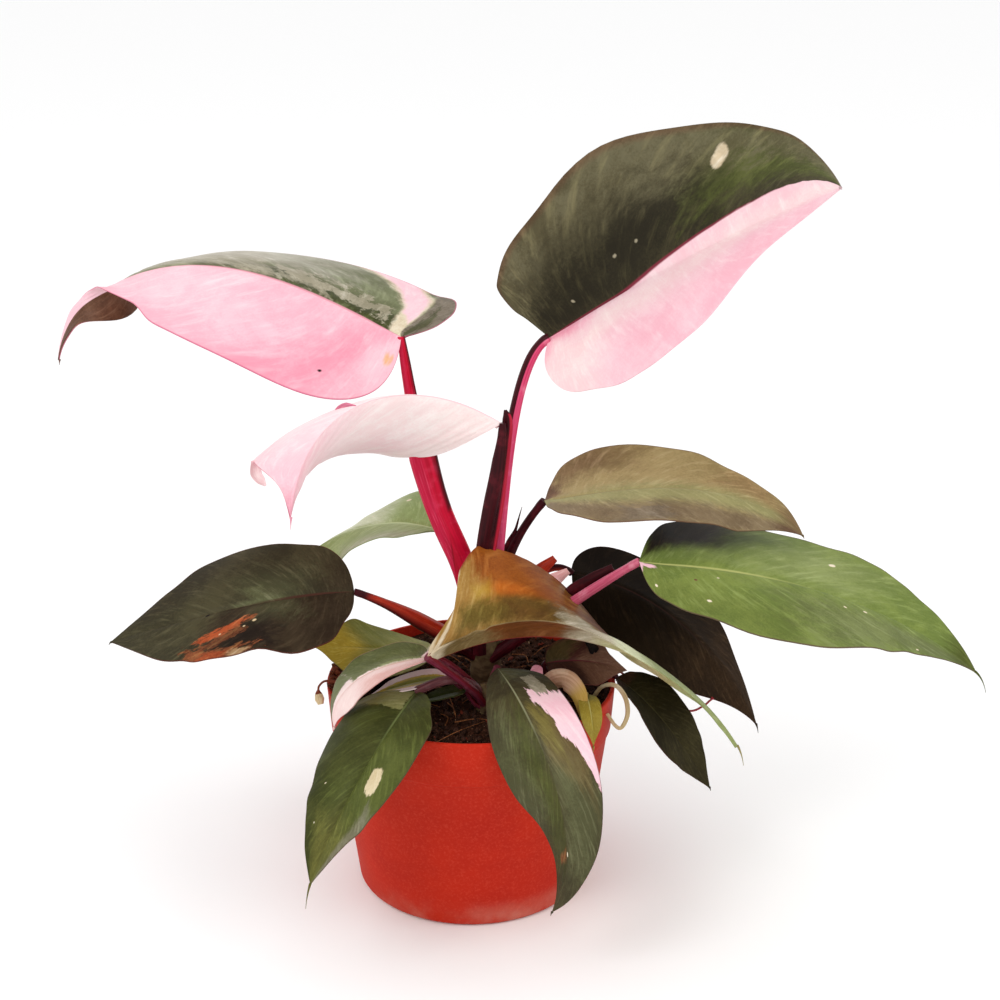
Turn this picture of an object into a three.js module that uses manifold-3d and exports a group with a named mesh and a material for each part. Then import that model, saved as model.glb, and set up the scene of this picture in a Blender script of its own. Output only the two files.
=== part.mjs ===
// Pink princess philodendron (Philodendron erubescens) in its 12 cm nursery pot.
// Millimetres, +Z up, the centre of the pot's underside at the origin, the plant's front towards -Y.
import * as THREE from 'three';
import { mergeVertices } from 'three/addons/utils/BufferGeometryUtils.js';
import Module from 'manifold-3d';

const wasm = await Module();
wasm.setup();

// ---------- driving dimensions ----------
const GAP = 0.3; // clearance between pieces that touch

const POT_HEIGHT = 90;
const RIM_RADIUS = 60;
const FOOT_RADIUS = 48;
const COLLAR_HEIGHT = 20; // the thicker band below the rim
const COLLAR_STEP = 1; // how far the collar stands out from the wall
const COLLAR_DRAFT = 1.6; // the collar's own widening towards the rim
const COLLAR_INSET = 0.6; // how much thinner the wall is where the collar starts
const RIM_BEVEL = 0.4;
const WALL = 1.6;
const FLOOR = 2.4;
const FOOT_ROUND = 2;
const DRAIN_COUNT = 8;
const DRAIN_RADIUS = 4;
const DRAIN_CIRCLE = 34;
const POT_SIDES = 40;

const SOIL_TOP = 86;
const SOIL_LUMP = 1.6; // height of the peat's lumps
const SOIL_RINGS = 5;
const SOIL_SECTORS = 24;

const BLADE = 0.9; // thickness of a large leaf
const BLADE_SMALL = 0.8;
const BLADE_ROLLED = 0.7; // the young leaf that is still rolled
const PETIOLE_SIDES = 7;
const PETIOLE_STEPS = 6;

// ---------- colours ----------
const material = (color, roughness) => new THREE.MeshStandardMaterial({ color, roughness, metalness: 0 });
const TERRACOTTA = material(0xb8402c, 0.55);
const PEAT = material(0x3a2418, 0.95);
const STEM_GREEN = material(0x6b3a34, 0.6);
const DARK_GREEN = material(0x38392c, 0.35);
const GREEN = material(0x5f7d47, 0.4);
const BRONZE = material(0x86703c, 0.35);
const OLIVE = material(0x77803a, 0.45);
const PINK = material(0xf7b6c6, 0.4);
const PALE_PINK = material(0xfbe0dd, 0.4);
const CRIMSON = material(0xc01c48, 0.4);
const MAROON = material(0x571a22, 0.45);
const ROSE = material(0xd0607e, 0.45);
const TAN = material(0xcaa07c, 0.7);
const STRAW = material(0xe8d8b4, 0.8);

// ---------- leaf blades ----------
// base: where the petiole joins the blade.  length and width: the blade laid flat.
// heading, swing: the midrib's direction seen from above and how far it turns to the tip.
// rise, droop, bend: its slope at the base, how much it falls, and how late.
// roll, twist: turn about the midrib, positive with the right half down.
// fold, tipFold, cup: slope of the left and right half at the midrib, its change to the tip, and
// the extra slope at the margin.  lobe, shoulder, belly, taper, side: the outline's shape.
const PLAIN = {
  swing: 0, bend: 1, roll: 0, twist: 0, fold: [5, 5], tipFold: [0, 0], cup: [0, 0],
  lobe: 0, shoulder: 0.25, belly: 0.33, taper: 0.4, side: 0, wave: 0, waves: 3,
  rows: 12, columns: 3, thick: BLADE,
};
const LEAVES = {
  tall_right: {
    base: [30, 5, 234], length: 152, width: 91, heading: -15, swing: -42, rise: 41, droop: 30, bend: 2.2,
    roll: 63, twist: -4, fold: [17, 15], tipFold: [-70, -16], cup: [9, 0],
    lobe: 0.03, shoulder: 0.32, belly: 0.35, taper: 0.6, side: -0.06, rows: 16, columns: 4, color: DARK_GREEN,
  },
  tall_left: {
    base: [-27, 8, 235], length: 176, width: 99, heading: 156, swing: 15, rise: 21, droop: 102, bend: 2.3,
    roll: -26, twist: 19, fold: [-6, -13], tipFold: [32, -7], cup: [-3, -19],
    lobe: 0.05, shoulder: 0.42, belly: 0.32, taper: 0.3, side: 0.02, rows: 18, columns: 4, color: PINK,
  },
  young_pale: {
    base: [13, -10, 205], length: 131, width: 64, heading: 168, swing: 113, rise: 33, droop: 69, bend: 0.8,
    roll: -13, twist: -65, fold: [-36, -75], tipFold: [50, 62], cup: [-80, -88],
    lobe: -0.12, shoulder: 0.74, belly: 0.43, taper: 0.6, side: -0.17, rows: 18, columns: 4,
    thick: BLADE_ROLLED, color: PALE_PINK,
  },
  back_left: {
    base: [-12, 25, 146], length: 82, width: 47, heading: 155, swing: 3, rise: 11, droop: 56, bend: 0.6,
    roll: -10, fold: [14, 10], tipFold: [-33, -16], cup: [2, -5],
    lobe: -0.03, shoulder: 0.2, belly: 0.3, taper: 0.2, color: GREEN,
  },
  left_dark: {
    base: [-48, -5, 131], length: 105, width: 57, heading: 189, swing: -16, rise: 4, droop: 25, bend: 0.5,
    roll: -32, twist: 8, fold: [6, 5], cup: [7, -3],
    lobe: -0.01, shoulder: 0.3, belly: 0.32, taper: 0.48, side: -0.02, color: DARK_GREEN,
  },
  right_bronze: {
    base: [30, 8, 166], length: 115, width: 53, heading: 1, swing: -3, rise: 22, droop: 60,
    roll: 14, fold: [1, 1], tipFold: [18, -8], cup: [-2, 4],
    lobe: -0.03, belly: 0.3, taper: 0.4, color: BRONZE,
  },
  right_green: {
    base: [68, -20, 150], length: 160, width: 66, heading: -3, swing: 7, rise: 1, droop: 54, bend: 1.2,
    roll: 22, twist: -4, fold: [-3, -1], tipFold: [22, 39], cup: [-15, -13],
    lobe: 0.01, shoulder: 0.15, belly: 0.36, taper: 0.37, rows: 15, color: GREEN,
  },
  right_low: {
    base: [42, 14, 131], length: 111, width: 58, heading: 4, swing: -4, rise: -6, droop: 51, bend: 0.45,
    roll: 27, fold: [-2, 6], tipFold: [22, 19], cup: [-11, -5],
    lobe: -0.01, belly: 0.32, taper: 0.27, color: DARK_GREEN,
  },
  centre_bronze: {
    base: [-11, -40, 119], length: 140, width: 77, heading: 4, swing: -13, rise: 39, droop: 98, bend: 0.7,
    roll: 24, twist: -69, fold: [32, 30], tipFold: [-82, -96], cup: [-12, 15],
    lobe: -0.08, shoulder: 0.57, belly: 0.13, taper: -0.32, side: 0.05, rows: 16, columns: 4, color: BRONZE,
  },
  right_small: {
    base: [63, 0, 92], length: 61, width: 30, heading: -23, swing: -1, rise: -3, droop: 59, bend: 0.4,
    roll: 9, twist: 6, fold: [5, 10], tipFold: [5, -33], cup: [-8, 5],
    lobe: -0.05, shoulder: 0.44, taper: 0.32, rows: 10, thick: BLADE_SMALL, color: DARK_GREEN,
  },
  left_arched: {
    base: [-16, -25, 111], length: 55, width: 32, heading: 192, swing: 4, rise: 1, droop: 98, bend: 1.7,
    roll: 2, twist: -3, fold: [6, -2], tipFold: [-36, 8], cup: [9, -4],
    lobe: 0.01, belly: 0.34, taper: 0.31, rows: 10, thick: BLADE_SMALL, color: PINK,
  },
  left_yellow: {
    base: [-16, 15, 95], length: 59, width: 38, heading: 181, swing: -2, rise: 12, droop: 25,
    roll: 2, twist: -12, fold: [3, -4], tipFold: [-24, 28], cup: [-5, -10],
    lobe: -0.01, shoulder: 0.2, belly: 0.41, taper: 0.12, rows: 10, thick: BLADE_SMALL, color: OLIVE,
  },
  front_left: {
    base: [-22, -32, 99], length: 96, width: 44, heading: 241, swing: -10, rise: 5, droop: 65, bend: 0.41,
    roll: 5, twist: 3, fold: [9, 7], tipFold: [47, 18], cup: [-6, -3],
    lobe: -0.03, shoulder: 0.27, belly: 0.35, taper: 0.45, color: GREEN,
  },
  front_right: {
    base: [11, -25, 106], length: 120, width: 42, heading: 289, swing: 7, rise: 4, droop: 124, bend: 1.2,
    roll: 6, twist: 29, fold: [0, -4], tipFold: [10, -90], cup: [-8, -6],
    lobe: -0.04, shoulder: 0.32, belly: 0.47, taper: 0.45, rows: 14, color: DARK_GREEN,
  },
  tiny_cream: {
    base: [-9, -23, 101], length: 31, width: 13, heading: 182, rise: -2, droop: 22, fold: [8, 8],
    shoulder: 0.3, taper: 0.3, rows: 8, columns: 2, thick: BLADE_SMALL, color: OLIVE,
  },
  tiny_shaded: {
    base: [-2, -24, 96], length: 21, width: 10, heading: 186, rise: -8, droop: 10, fold: [10, 10],
    shoulder: 0.3, taper: 0.3, rows: 7, columns: 2, thick: BLADE_SMALL, color: GREEN,
  },
  tiny_olive: {
    base: [49, -27, 98], length: 24, width: 10, heading: 278, rise: -8, droop: 78, bend: 1.2, fold: [5, 5],
    shoulder: 0.3, rows: 8, columns: 2, thick: BLADE_SMALL, color: OLIVE,
  },
  folded_maroon: {
    base: [31, -5, 99], length: 34, width: 21, heading: 0, swing: -12, rise: 12, droop: 30, fold: [48, -42],
    shoulder: 0.4, belly: 0.5, taper: 0.8, rows: 9, columns: 2, thick: BLADE_SMALL, color: MAROON,
  },
};

const DEGREE = Math.PI / 180;
const SHOULDER_END = 0.42; // share of the margin that runs from the sinus to the widest place
const OUTER_PULL = 0.62; // how far the widest part carries on towards the tip
const TIP_PULL = 0.7; // where the margin starts to close on the tip
const NARROWEST = 0.12; // a drawn-out tip stays at least this wide at its start
const RIB_SPACING = 1.5; // the side ribs crowd towards the base
const SPINE_STEPS = 60;
const MITRE_ZONE = 3; // mm beside the midrib over which the lower face leaves the mitre
const MOST_MITRE = 2; // longest mitre, as a share of the thickness

const bezier = (a, b, c, d, t) =>
  (1 - t) ** 3 * a + 3 * (1 - t) ** 2 * t * b + 3 * (1 - t) * t ** 2 * c + t ** 3 * d;

// The flat outline of one half: shares of the length along the midrib and of the half width across.
function margin({ lobe, shoulder, belly, taper }, s) {
  const back = -1.5 * lobe;
  if (s < SHOULDER_END) {
    const t = s / SHOULDER_END;
    return [bezier(0, back, back, belly, t), bezier(0, shoulder, 1, 1, t)];
  }
  const t = (s - SHOULDER_END) / (1 - SHOULDER_END);
  const across = Math.max(bezier(1, 1, taper, 0, t), NARROWEST * (1 - t));
  return [bezier(belly, belly + OUTER_PULL * (1 - belly), TIP_PULL, 1, t), across];
}

// Tangent, upward normal and right-hand direction of the unrolled midrib.
function midribFrame(leaf, s) {
  const slope = (leaf.rise - leaf.droop * s ** leaf.bend) * DEGREE;
  const heading = (leaf.heading + leaf.swing * s) * DEGREE;
  const [cs, ss, ch, sh] = [Math.cos(slope), Math.sin(slope), Math.cos(heading), Math.sin(heading)];
  const tangent = new THREE.Vector3(cs * ch, cs * sh, ss);
  const up = new THREE.Vector3(-ss * ch, -ss * sh, cs);
  return { tangent, up, right: tangent.clone().cross(up) };
}

function midrib(leaf) {
  const points = [new THREE.Vector3(...leaf.base)];
  for (let i = 0; i < SPINE_STEPS; i++) {
    const step = midribFrame(leaf, (i + 0.5) / SPINE_STEPS).tangent.multiplyScalar(leaf.length / SPINE_STEPS);
    points.push(points[i].clone().add(step));
  }
  return points;
}

// The place of flat coordinates, `along` mm from the sinus and `across` mm to the right, and the way to
// the lower face: square to the surface, but mitred beside the midrib so that a sharp fold doesn't cross.
function bladePoint(leaf, spine, along, across) {
  const s = along / leaf.length;
  const on = Math.min(Math.max(s, 0), 1);
  const { tangent, up, right } = midribFrame(leaf, on);
  const turn = (leaf.roll + leaf.twist * on) * DEGREE;
  const normal = up.clone().multiplyScalar(Math.cos(turn)).addScaledVector(right, Math.sin(turn));
  const side = right.clone().multiplyScalar(Math.cos(turn)).addScaledVector(up, -Math.sin(turn));
  const step = Math.min(Math.floor(on * SPINE_STEPS), SPINE_STEPS - 1);
  const point = spine[step].clone().lerp(spine[step + 1], on * SPINE_STEPS - step);
  point.addScaledVector(tangent, Math.min(s, 0) * leaf.length);
  const half = leaf.width / 2;
  const share = Math.abs(across) / half;
  const folds = [0, 1].map((k) => (leaf.fold[k] + leaf.tipFold[k] * on * on) * DEGREE);
  const k = across > 0 ? 1 : 0;
  const hand = k ? 1 : -1;
  const curve = leaf.cup[k] * DEGREE + 1e-5;
  const slope = folds[k] + curve * share;
  const out = (half / curve) * (Math.sin(slope) - Math.sin(folds[k])) * hand;
  const lift = (half / curve) * (Math.cos(folds[k]) - Math.cos(slope))
    + leaf.wave * share * share * Math.sin(2 * Math.PI * (leaf.waves * on + 0.25 * k));
  point.addScaledVector(side, out).addScaledVector(normal, lift);
  const under = (angle) => {
    const sunk = side.clone().multiplyScalar(Math.sin(angle));
    return sunk.addScaledVector(normal, -Math.cos(angle));
  };
  const mitre = under(folds[1]).add(under(-folds[0]));
  mitre.multiplyScalar(Math.min(2 / mitre.lengthSq(), MOST_MITRE / mitre.length()));
  const inward = mitre.lerp(under(slope * hand), Math.min(Math.abs(across) / MITRE_ZONE, 1));
  return { point, inward: inward.multiplyScalar(leaf.thick) };
}

// A closed thin shell: the upper face, the lower face split into the same triangles, and the margin.
function bladeGeometry(leaf) {
  const spine = midrib(leaf);
  const { rows, columns, length, width } = leaf;
  const places = [];
  const addPlace = (along, across) => places.push(bladePoint(leaf, spine, along, across)) - 1;
  const sinus = addPlace(0, 0);
  const grid = [];
  for (let i = 1; i < rows; i++) {
    const s = i / rows;
    const [along, across] = margin(leaf, s);
    const start = s ** RIB_SPACING;
    const row = [];
    for (let j = -columns; j <= columns; j++) {
      const out = Math.abs(j) / columns;
      const reach = (1 + Math.sign(j) * leaf.side) * across * out * (width / 2);
      row.push(addPlace((start + (along - start) * out) * length, Math.sign(j) * reach));
    }
    grid.push(row);
  }
  const tip = addPlace(length, 0);

  const upper = [];
  const last = grid.length - 1;
  for (let j = 0; j < 2 * columns; j++) {
    upper.push([sinus, grid[0][j + 1], grid[0][j]]);
    upper.push([tip, grid[last][j], grid[last][j + 1]]);
    for (let i = 0; i < last; i++) {
      const [a, b, c, d] = [grid[i][j], grid[i][j + 1], grid[i + 1][j + 1], grid[i + 1][j]];
      if (j < columns) upper.push([a, b, d], [b, c, d]);
      else upper.push([a, b, c], [a, c, d]);
    }
  }
  const rim = [sinus, ...grid.map((row) => row[0]), tip, ...grid.map((row) => row[2 * columns]).reverse()];
  const count = places.length;
  const positions = [];
  for (const { point } of places) positions.push(point.x, point.y, point.z);
  for (const { point, inward } of places) {
    const below = point.clone().add(inward);
    positions.push(below.x, below.y, below.z);
  }
  const index = [];
  for (const [a, b, c] of upper) index.push(a, b, c, a + count, c + count, b + count);
  rim.forEach((a, i) => {
    const b = rim[(i + 1) % rim.length];
    index.push(a, b, b + count, a, b + count, a + count);
  });
  const geometry = new THREE.BufferGeometry();
  geometry.setAttribute('position', new THREE.Float32BufferAttribute(positions, 3));
  geometry.setIndex(index);
  return geometry;
}

// ---------- petioles and other stalks ----------
// A stalk runs along `path`; `radii` are its radii at even steps from root to end, `flat` is its depth
// as a share of its width, and `grow` makes it larger all round.
const arch = (from, bend1, bend2, to) =>
  new THREE.CubicBezierCurve3(...[from, bend1, bend2, to].map((p) => new THREE.Vector3(...p)));
const through = (...points) => new THREE.CatmullRomCurve3(points.map((p) => new THREE.Vector3(...p)));

function stalkGeometry({ path, radii, flat = 1, steps = PETIOLE_STEPS }, grow = 0) {
  const positions = [];
  const index = [];
  const across = new THREE.Vector3(0, 1, 0);
  for (let i = 0; i <= steps; i++) {
    const t = i / steps;
    const centre = path.getPoint(t);
    const tangent = path.getTangent(t);
    if (i === 0 && grow) centre.addScaledVector(tangent, -grow);
    if (i === steps && grow) centre.addScaledVector(tangent, grow);
    const depth = across.clone().addScaledVector(tangent, -across.dot(tangent)).normalize();
    const wide = tangent.clone().cross(depth).normalize();
    const at = t * (radii.length - 1);
    const k = Math.min(Math.floor(at), radii.length - 2);
    const radius = radii[k] + (radii[k + 1] - radii[k]) * (at - k) + grow;
    for (let j = 0; j < PETIOLE_SIDES; j++) {
      const angle = (2 * Math.PI * j) / PETIOLE_SIDES;
      const p = centre.clone().addScaledVector(wide, radius * Math.cos(angle));
      p.addScaledVector(depth, radius * flat * Math.sin(angle));
      positions.push(p.x, p.y, p.z);
    }
  }
  for (let i = 0; i < steps; i++) {
    for (let j = 0; j < PETIOLE_SIDES; j++) {
      const next = (j + 1) % PETIOLE_SIDES;
      const [a, b] = [i * PETIOLE_SIDES + j, i * PETIOLE_SIDES + next];
      const [c, d] = [a + PETIOLE_SIDES, b + PETIOLE_SIDES];
      index.push(a, d, b, a, c, d);
    }
  }
  const top = steps * PETIOLE_SIDES;
  for (let j = 1; j < PETIOLE_SIDES - 1; j++) {
    index.push(0, j, j + 1);
    index.push(top, top + j + 1, top + j);
  }
  const geometry = new THREE.BufferGeometry();
  geometry.setAttribute('position', new THREE.Float32BufferAttribute(positions, 3));
  geometry.setIndex(index);
  return geometry;
}

// ---------- booleans ----------
function solid(geometry) {
  const bare = geometry.clone();
  bare.deleteAttribute('normal');
  bare.deleteAttribute('uv');
  const merged = mergeVertices(bare, 1e-4);
  const mesh = new wasm.Mesh({
    numProp: 3,
    vertProperties: new Float32Array(merged.attributes.position.array),
    triVerts: new Uint32Array(merged.index.array),
  });
  return new wasm.Manifold(mesh);
}

function geometryOf(manifold) {
  const { vertProperties, triVerts } = manifold.getMesh();
  const geometry = new THREE.BufferGeometry();
  geometry.setAttribute('position', new THREE.Float32BufferAttribute(vertProperties, 3));
  geometry.setIndex(new THREE.Uint32BufferAttribute(triVerts, 1));
  geometry.computeVertexNormals();
  return geometry;
}

const plant = new THREE.Group();
function addNode(name, shape, look) {
  const mesh = new THREE.Mesh(geometryOf(shape), look);
  mesh.name = name;
  plant.add(mesh);
  return mesh;
}

// ---------- pot ----------
const wallRadius = (z) => FOOT_RADIUS + ((RIM_RADIUS - COLLAR_STEP - COLLAR_DRAFT - FOOT_RADIUS) * z)
  / (POT_HEIGHT - COLLAR_HEIGHT);
const COLLAR_Z = POT_HEIGHT - COLLAR_HEIGHT;

function lathe(profile, sides) {
  const points = profile.map(([r, z]) => new THREE.Vector2(r, z));
  return new THREE.LatheGeometry(points, sides).rotateX(Math.PI / 2);
}

function potShape() {
  const outer = [
    [0, 0], [FOOT_RADIUS - FOOT_ROUND, 0], [FOOT_RADIUS, FOOT_ROUND], [wallRadius(COLLAR_Z), COLLAR_Z],
    [wallRadius(COLLAR_Z) + COLLAR_STEP, COLLAR_Z + 1],
    [RIM_RADIUS, POT_HEIGHT - 1], [RIM_RADIUS - RIM_BEVEL, POT_HEIGHT],
  ];
  const inner = [
    [RIM_RADIUS - WALL, POT_HEIGHT], [wallRadius(COLLAR_Z) - WALL + COLLAR_INSET, COLLAR_Z],
    [wallRadius(FLOOR) - WALL, FLOOR], [0, FLOOR],
  ];
  let pot = solid(lathe([...outer, ...inner], POT_SIDES));
  for (let i = 0; i < DRAIN_COUNT; i++) {
    const angle = (2 * Math.PI * (i + 0.5)) / DRAIN_COUNT;
    const drill = new THREE.CylinderGeometry(DRAIN_RADIUS, DRAIN_RADIUS, 4 * FLOOR, 12).rotateX(Math.PI / 2);
    drill.translate(DRAIN_CIRCLE * Math.cos(angle), DRAIN_CIRCLE * Math.sin(angle), 0);
    pot = pot.subtract(solid(drill));
  }
  return pot;
}

// ---------- soil ----------
// Height of the peat's surface: a few crossed ripples stand for its lumps.
const soilHeight = (x, y) => SOIL_TOP + (SOIL_LUMP / 2)
  * (Math.sin(0.21 * x + 0.6) * Math.cos(0.17 * y) + 0.6 * Math.sin(0.37 * y + 0.29 * x + 1.1));

function soilShape() {
  const collarInside = wallRadius(COLLAR_Z) - WALL + COLLAR_INSET;
  const innerRadius = (z) => (z > COLLAR_Z
    ? collarInside + ((RIM_RADIUS - WALL - collarInside) * (z - COLLAR_Z)) / COLLAR_HEIGHT
    : wallRadius(z) - WALL) - GAP;
  const positions = [0, 0, FLOOR + GAP];
  const index = [];
  const ring = (radiusAt, heightAt) => {
    for (let j = 0; j < SOIL_SECTORS; j++) {
      const angle = (2 * Math.PI * j) / SOIL_SECTORS;
      const r = radiusAt(angle);
      const [x, y] = [r * Math.cos(angle), r * Math.sin(angle)];
      positions.push(x, y, heightAt(x, y));
    }
  };
  const low = FLOOR + GAP;
  ring(() => innerRadius(low) - 0.5, () => low);
  ring(() => innerRadius(COLLAR_Z) - 0.3, () => COLLAR_Z);
  const edge = innerRadius(SOIL_TOP - SOIL_LUMP) - 0.2;
  for (let i = SOIL_RINGS; i > 0; i--) ring(() => (edge * i) / SOIL_RINGS, soilHeight);
  positions.push(0, 0, soilHeight(0, 0));
  const rings = SOIL_RINGS + 2;
  const vertex = (i, j) => 1 + i * SOIL_SECTORS + (j % SOIL_SECTORS);
  const centre = 1 + rings * SOIL_SECTORS;
  for (let j = 0; j < SOIL_SECTORS; j++) {
    index.push(0, vertex(0, j + 1), vertex(0, j));
    for (let i = 0; i < rings - 1; i++) {
      const [a, b, c, d] = [vertex(i, j), vertex(i, j + 1), vertex(i + 1, j + 1), vertex(i + 1, j)];
      index.push(a, b, c, a, c, d);
    }
    index.push(vertex(rings - 1, j), vertex(rings - 1, j + 1), centre);
  }
  const geometry = new THREE.BufferGeometry();
  geometry.setAttribute('position', new THREE.Float32BufferAttribute(positions, 3));
  geometry.setIndex(index);
  return solid(geometry);
}

// ---------- stems ----------
// Each stem is short and stands STEM_SINK deep in the peat; the petioles leave its side.
const STEM_SINK = 14;
const STEMS = {
  main: { at: [6, 3], top: 112, radius: 6.5 },
  front: { at: [6, -21], top: 97, radius: 3.8 },
  right: { at: [34, -5], top: 94, radius: 3.2 },
};
const STEM_SIDES = 12;

function stemShape({ at, top, radius }, grow = 0) {
  const foot = SOIL_TOP - STEM_SINK - grow;
  const height = top + grow - foot;
  const r = radius + grow;
  const rings = [[0, 0], [0.85 * r, 0], [r, 0.55 * height], [0.93 * r, 0.62 * height], [r, 0.85 * height],
    [0.72 * r, height], [0, height]];
  return solid(lathe(rings, STEM_SIDES).translate(at[0], at[1], foot));
}

// ---------- petioles ----------
const PETIOLES = {
  tall_right: {
    from: [9, 3, 106], bend1: [15, 3, 150], bend2: [14, 5, 205], radii: [3, 2.9, 2.7, 2.3, 1.9], color: ROSE,
  },
  tall_left: {
    from: [2, 4, 104], bend1: [-4, 5, 140], bend2: [-17, 9, 190], radii: [4, 5.4, 5.8, 4.2, 2.1, 1.8],
    flat: 0.62, color: CRIMSON,
  },
  young_pale: {
    from: [5, -2, 102], bend1: [7, -3, 140], bend2: [10, -8, 175], radii: [3.4, 3.9, 3.8, 3.2, 2.2],
    flat: 0.8, color: MAROON,
  },
  back_left: {
    from: [4, 6, 104], bend1: [2, 13, 120], bend2: [-4, 19, 135], radii: [2.2, 1.8, 1.5], color: MAROON,
  },
  left_dark: {
    from: [2, 2, 100], bend1: [-14, -1, 112], bend2: [-30, -3, 124], radii: [3.4, 3.2, 2.8, 1.7, 1.5],
    color: MAROON,
  },
  right_bronze: {
    from: [8, 5, 106], bend1: [10, 10, 130], bend2: [17, 11, 148], radii: [2.8, 2.5, 2.3, 1.8, 1.6],
    color: MAROON,
  },
  right_green: {
    from: [8, 0, 99], bend1: [25, -3, 113], bend2: [48, -12, 135], radii: [3, 2.7, 2.4, 2, 2], color: ROSE,
  },
  right_low: {
    from: [8, 5, 103], bend1: [17, 9, 122], bend2: [29, 15, 138], radii: [2.8, 2.6, 1.6, 1.4], color: MAROON,
  },
  centre_bronze: {
    from: [6, -22, 88], bend1: [2, -27, 98], bend2: [-6, -36, 108], radii: [2, 1.8, 1.8], color: ROSE,
  },
  right_small: {
    from: [35, -4, 91], bend1: [43, -2, 99], bend2: [54, 0, 99], radii: [1.6, 1.3, 1.2], color: MAROON,
  },
  left_arched: {
    from: [5, -20, 93], bend1: [-2, -19, 99], bend2: [-9, -21, 109], radii: [1.6, 1.4, 1.2], color: ROSE,
  },
  left_yellow: {
    from: [4, 4, 96], bend1: [-3, 9, 98], bend2: [-9, 13, 98], radii: [1.8, 1.5, 1.3], color: MAROON,
  },
  front_left: {
    from: [5, -22, 93], bend1: [-2, -26, 105], bend2: [-12, -32, 105], radii: [1.8, 1.5, 1.3], color: ROSE,
  },
  front_right: {
    from: [7, -22, 90], bend1: [8, -23, 97], bend2: [9, -23, 102], radii: [1.8, 1.6, 1.4], color: ROSE,
  },
  tiny_cream: {
    from: [5, -21, 89], bend1: [-1, -21, 92], bend2: [-5, -23, 98], radii: [1.2, 1, 0.9], color: ROSE,
  },
  tiny_shaded: {
    from: [6, -22, 87], bend1: [2, -24, 88], bend2: [0, -24, 92], radii: [1.1, 1, 0.9], color: ROSE,
  },
  tiny_olive: {
    from: [35, -7, 90], bend1: [38, -14, 98], bend2: [46, -22, 101], radii: [1.2, 1, 0.9], color: ROSE,
  },
  folded_maroon: {
    from: [33, -5, 92], bend1: [31, -5, 95], bend2: [29, -5, 98], radii: [1.6, 1.3, 1.1], color: MAROON,
  },
};

// ---------- scales, bud and dried bits on the peat ----------
const LOOSE = {
  bud: {
    path: through([23, -21, 82], [25, -24, 96], [27, -27, 106]), radii: [2.6, 3.1, 3.2, 2.6, 1], color: PINK,
  },
  cataphyll: {
    path: through([27, -15, 83], [30, -18, 96], [35, -23, 102], [40, -29, 99], [42, -35, 92]),
    radii: [2.4, 3.2, 4, 3.8, 1.4], flat: 0.35, color: TAN,
  },
  dried_loop: {
    path: through([50, -9, 84], [54, -10, 90.5], [60, -12, 92.3], [65, -16, 88], [66, -22, 80], [61, -27, 75],
      [57, -27, 79], [57, -26, 84]),
    radii: [1, 1.1, 1, 0.9, 0.8], flat: 0.5, steps: 14, color: STRAW,
  },
  dried_twig: {
    path: through([-50, -8, 84], [-54, -9, 90.5], [-60, -11, 93], [-63, -13, 91], [-64, -15, 85]),
    radii: [1.1, 1, 0.9, 0.7], steps: 8, color: STRAW,
  },
};

// ---------- assembly ----------
addNode('pot', potShape(), TERRACOTTA);

let soil = soilShape();
for (const spec of Object.values(STEMS)) soil = soil.subtract(stemShape(spec, GAP));
for (const spec of Object.values(LOOSE)) soil = soil.subtract(solid(stalkGeometry(spec, GAP)));
addNode('soil', soil, PEAT);

for (const [name, spec] of Object.entries(STEMS)) addNode(`stem_${name}`, stemShape(spec), STEM_GREEN);
for (const [name, spec] of Object.entries(LOOSE)) addNode(name, solid(stalkGeometry(spec)), spec.color);

const placed = []; // grown copies of the petioles that are already there
for (const [name, petiole] of Object.entries(PETIOLES)) {
  const leaf = { ...PLAIN, ...LEAVES[name] };
  const stalk = { ...petiole, path: arch(petiole.from, petiole.bend1, petiole.bend2, leaf.base) };
  let shape = solid(stalkGeometry(stalk));
  for (const spec of Object.values(STEMS)) shape = shape.subtract(stemShape(spec, GAP));
  for (const other of placed) shape = shape.subtract(other);
  addNode(`petiole_${name}`, shape, petiole.color);
  placed.push(solid(stalkGeometry(stalk, GAP)));
}
for (const [name, spec] of Object.entries(LEAVES)) {
  const leaf = { ...PLAIN, ...spec };
  let blade = solid(bladeGeometry(leaf));
  for (const other of placed) blade = blade.subtract(other);
  addNode(`leaf_${name}`, blade, leaf.color);
}

export default plant;
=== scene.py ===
import math

import bmesh
import bpy
import numpy as np
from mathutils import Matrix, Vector, noise


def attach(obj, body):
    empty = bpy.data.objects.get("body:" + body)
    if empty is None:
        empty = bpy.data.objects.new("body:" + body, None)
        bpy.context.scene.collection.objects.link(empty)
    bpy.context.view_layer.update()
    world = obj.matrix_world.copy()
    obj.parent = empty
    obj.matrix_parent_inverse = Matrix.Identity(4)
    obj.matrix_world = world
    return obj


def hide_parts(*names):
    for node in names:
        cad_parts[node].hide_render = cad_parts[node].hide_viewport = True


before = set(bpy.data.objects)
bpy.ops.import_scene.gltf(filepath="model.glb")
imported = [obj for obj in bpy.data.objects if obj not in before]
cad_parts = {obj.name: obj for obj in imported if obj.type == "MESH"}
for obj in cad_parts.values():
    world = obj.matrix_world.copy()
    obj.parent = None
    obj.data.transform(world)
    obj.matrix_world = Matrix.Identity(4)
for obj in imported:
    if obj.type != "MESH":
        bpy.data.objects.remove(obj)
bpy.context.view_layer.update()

scene = bpy.context.scene
MM = 0.001
TURN = 2 * math.pi

# ---------- driving dimensions, as in the solids ----------
POT_HEIGHT = 90
FOOT_RADIUS = 48
COLLAR_Z = 70
WALL_FLARE = 9.4  # how much the wall's radius grows from the foot to the collar
WALL = 1.6
FLOOR = 2.4
DRAINS = 8
DRAIN_RADIUS = 4
DRAIN_RING = 34  # how far out the drain holes lie
SOIL_TOP = 86
SOIL_EDGE = 57.4

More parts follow.
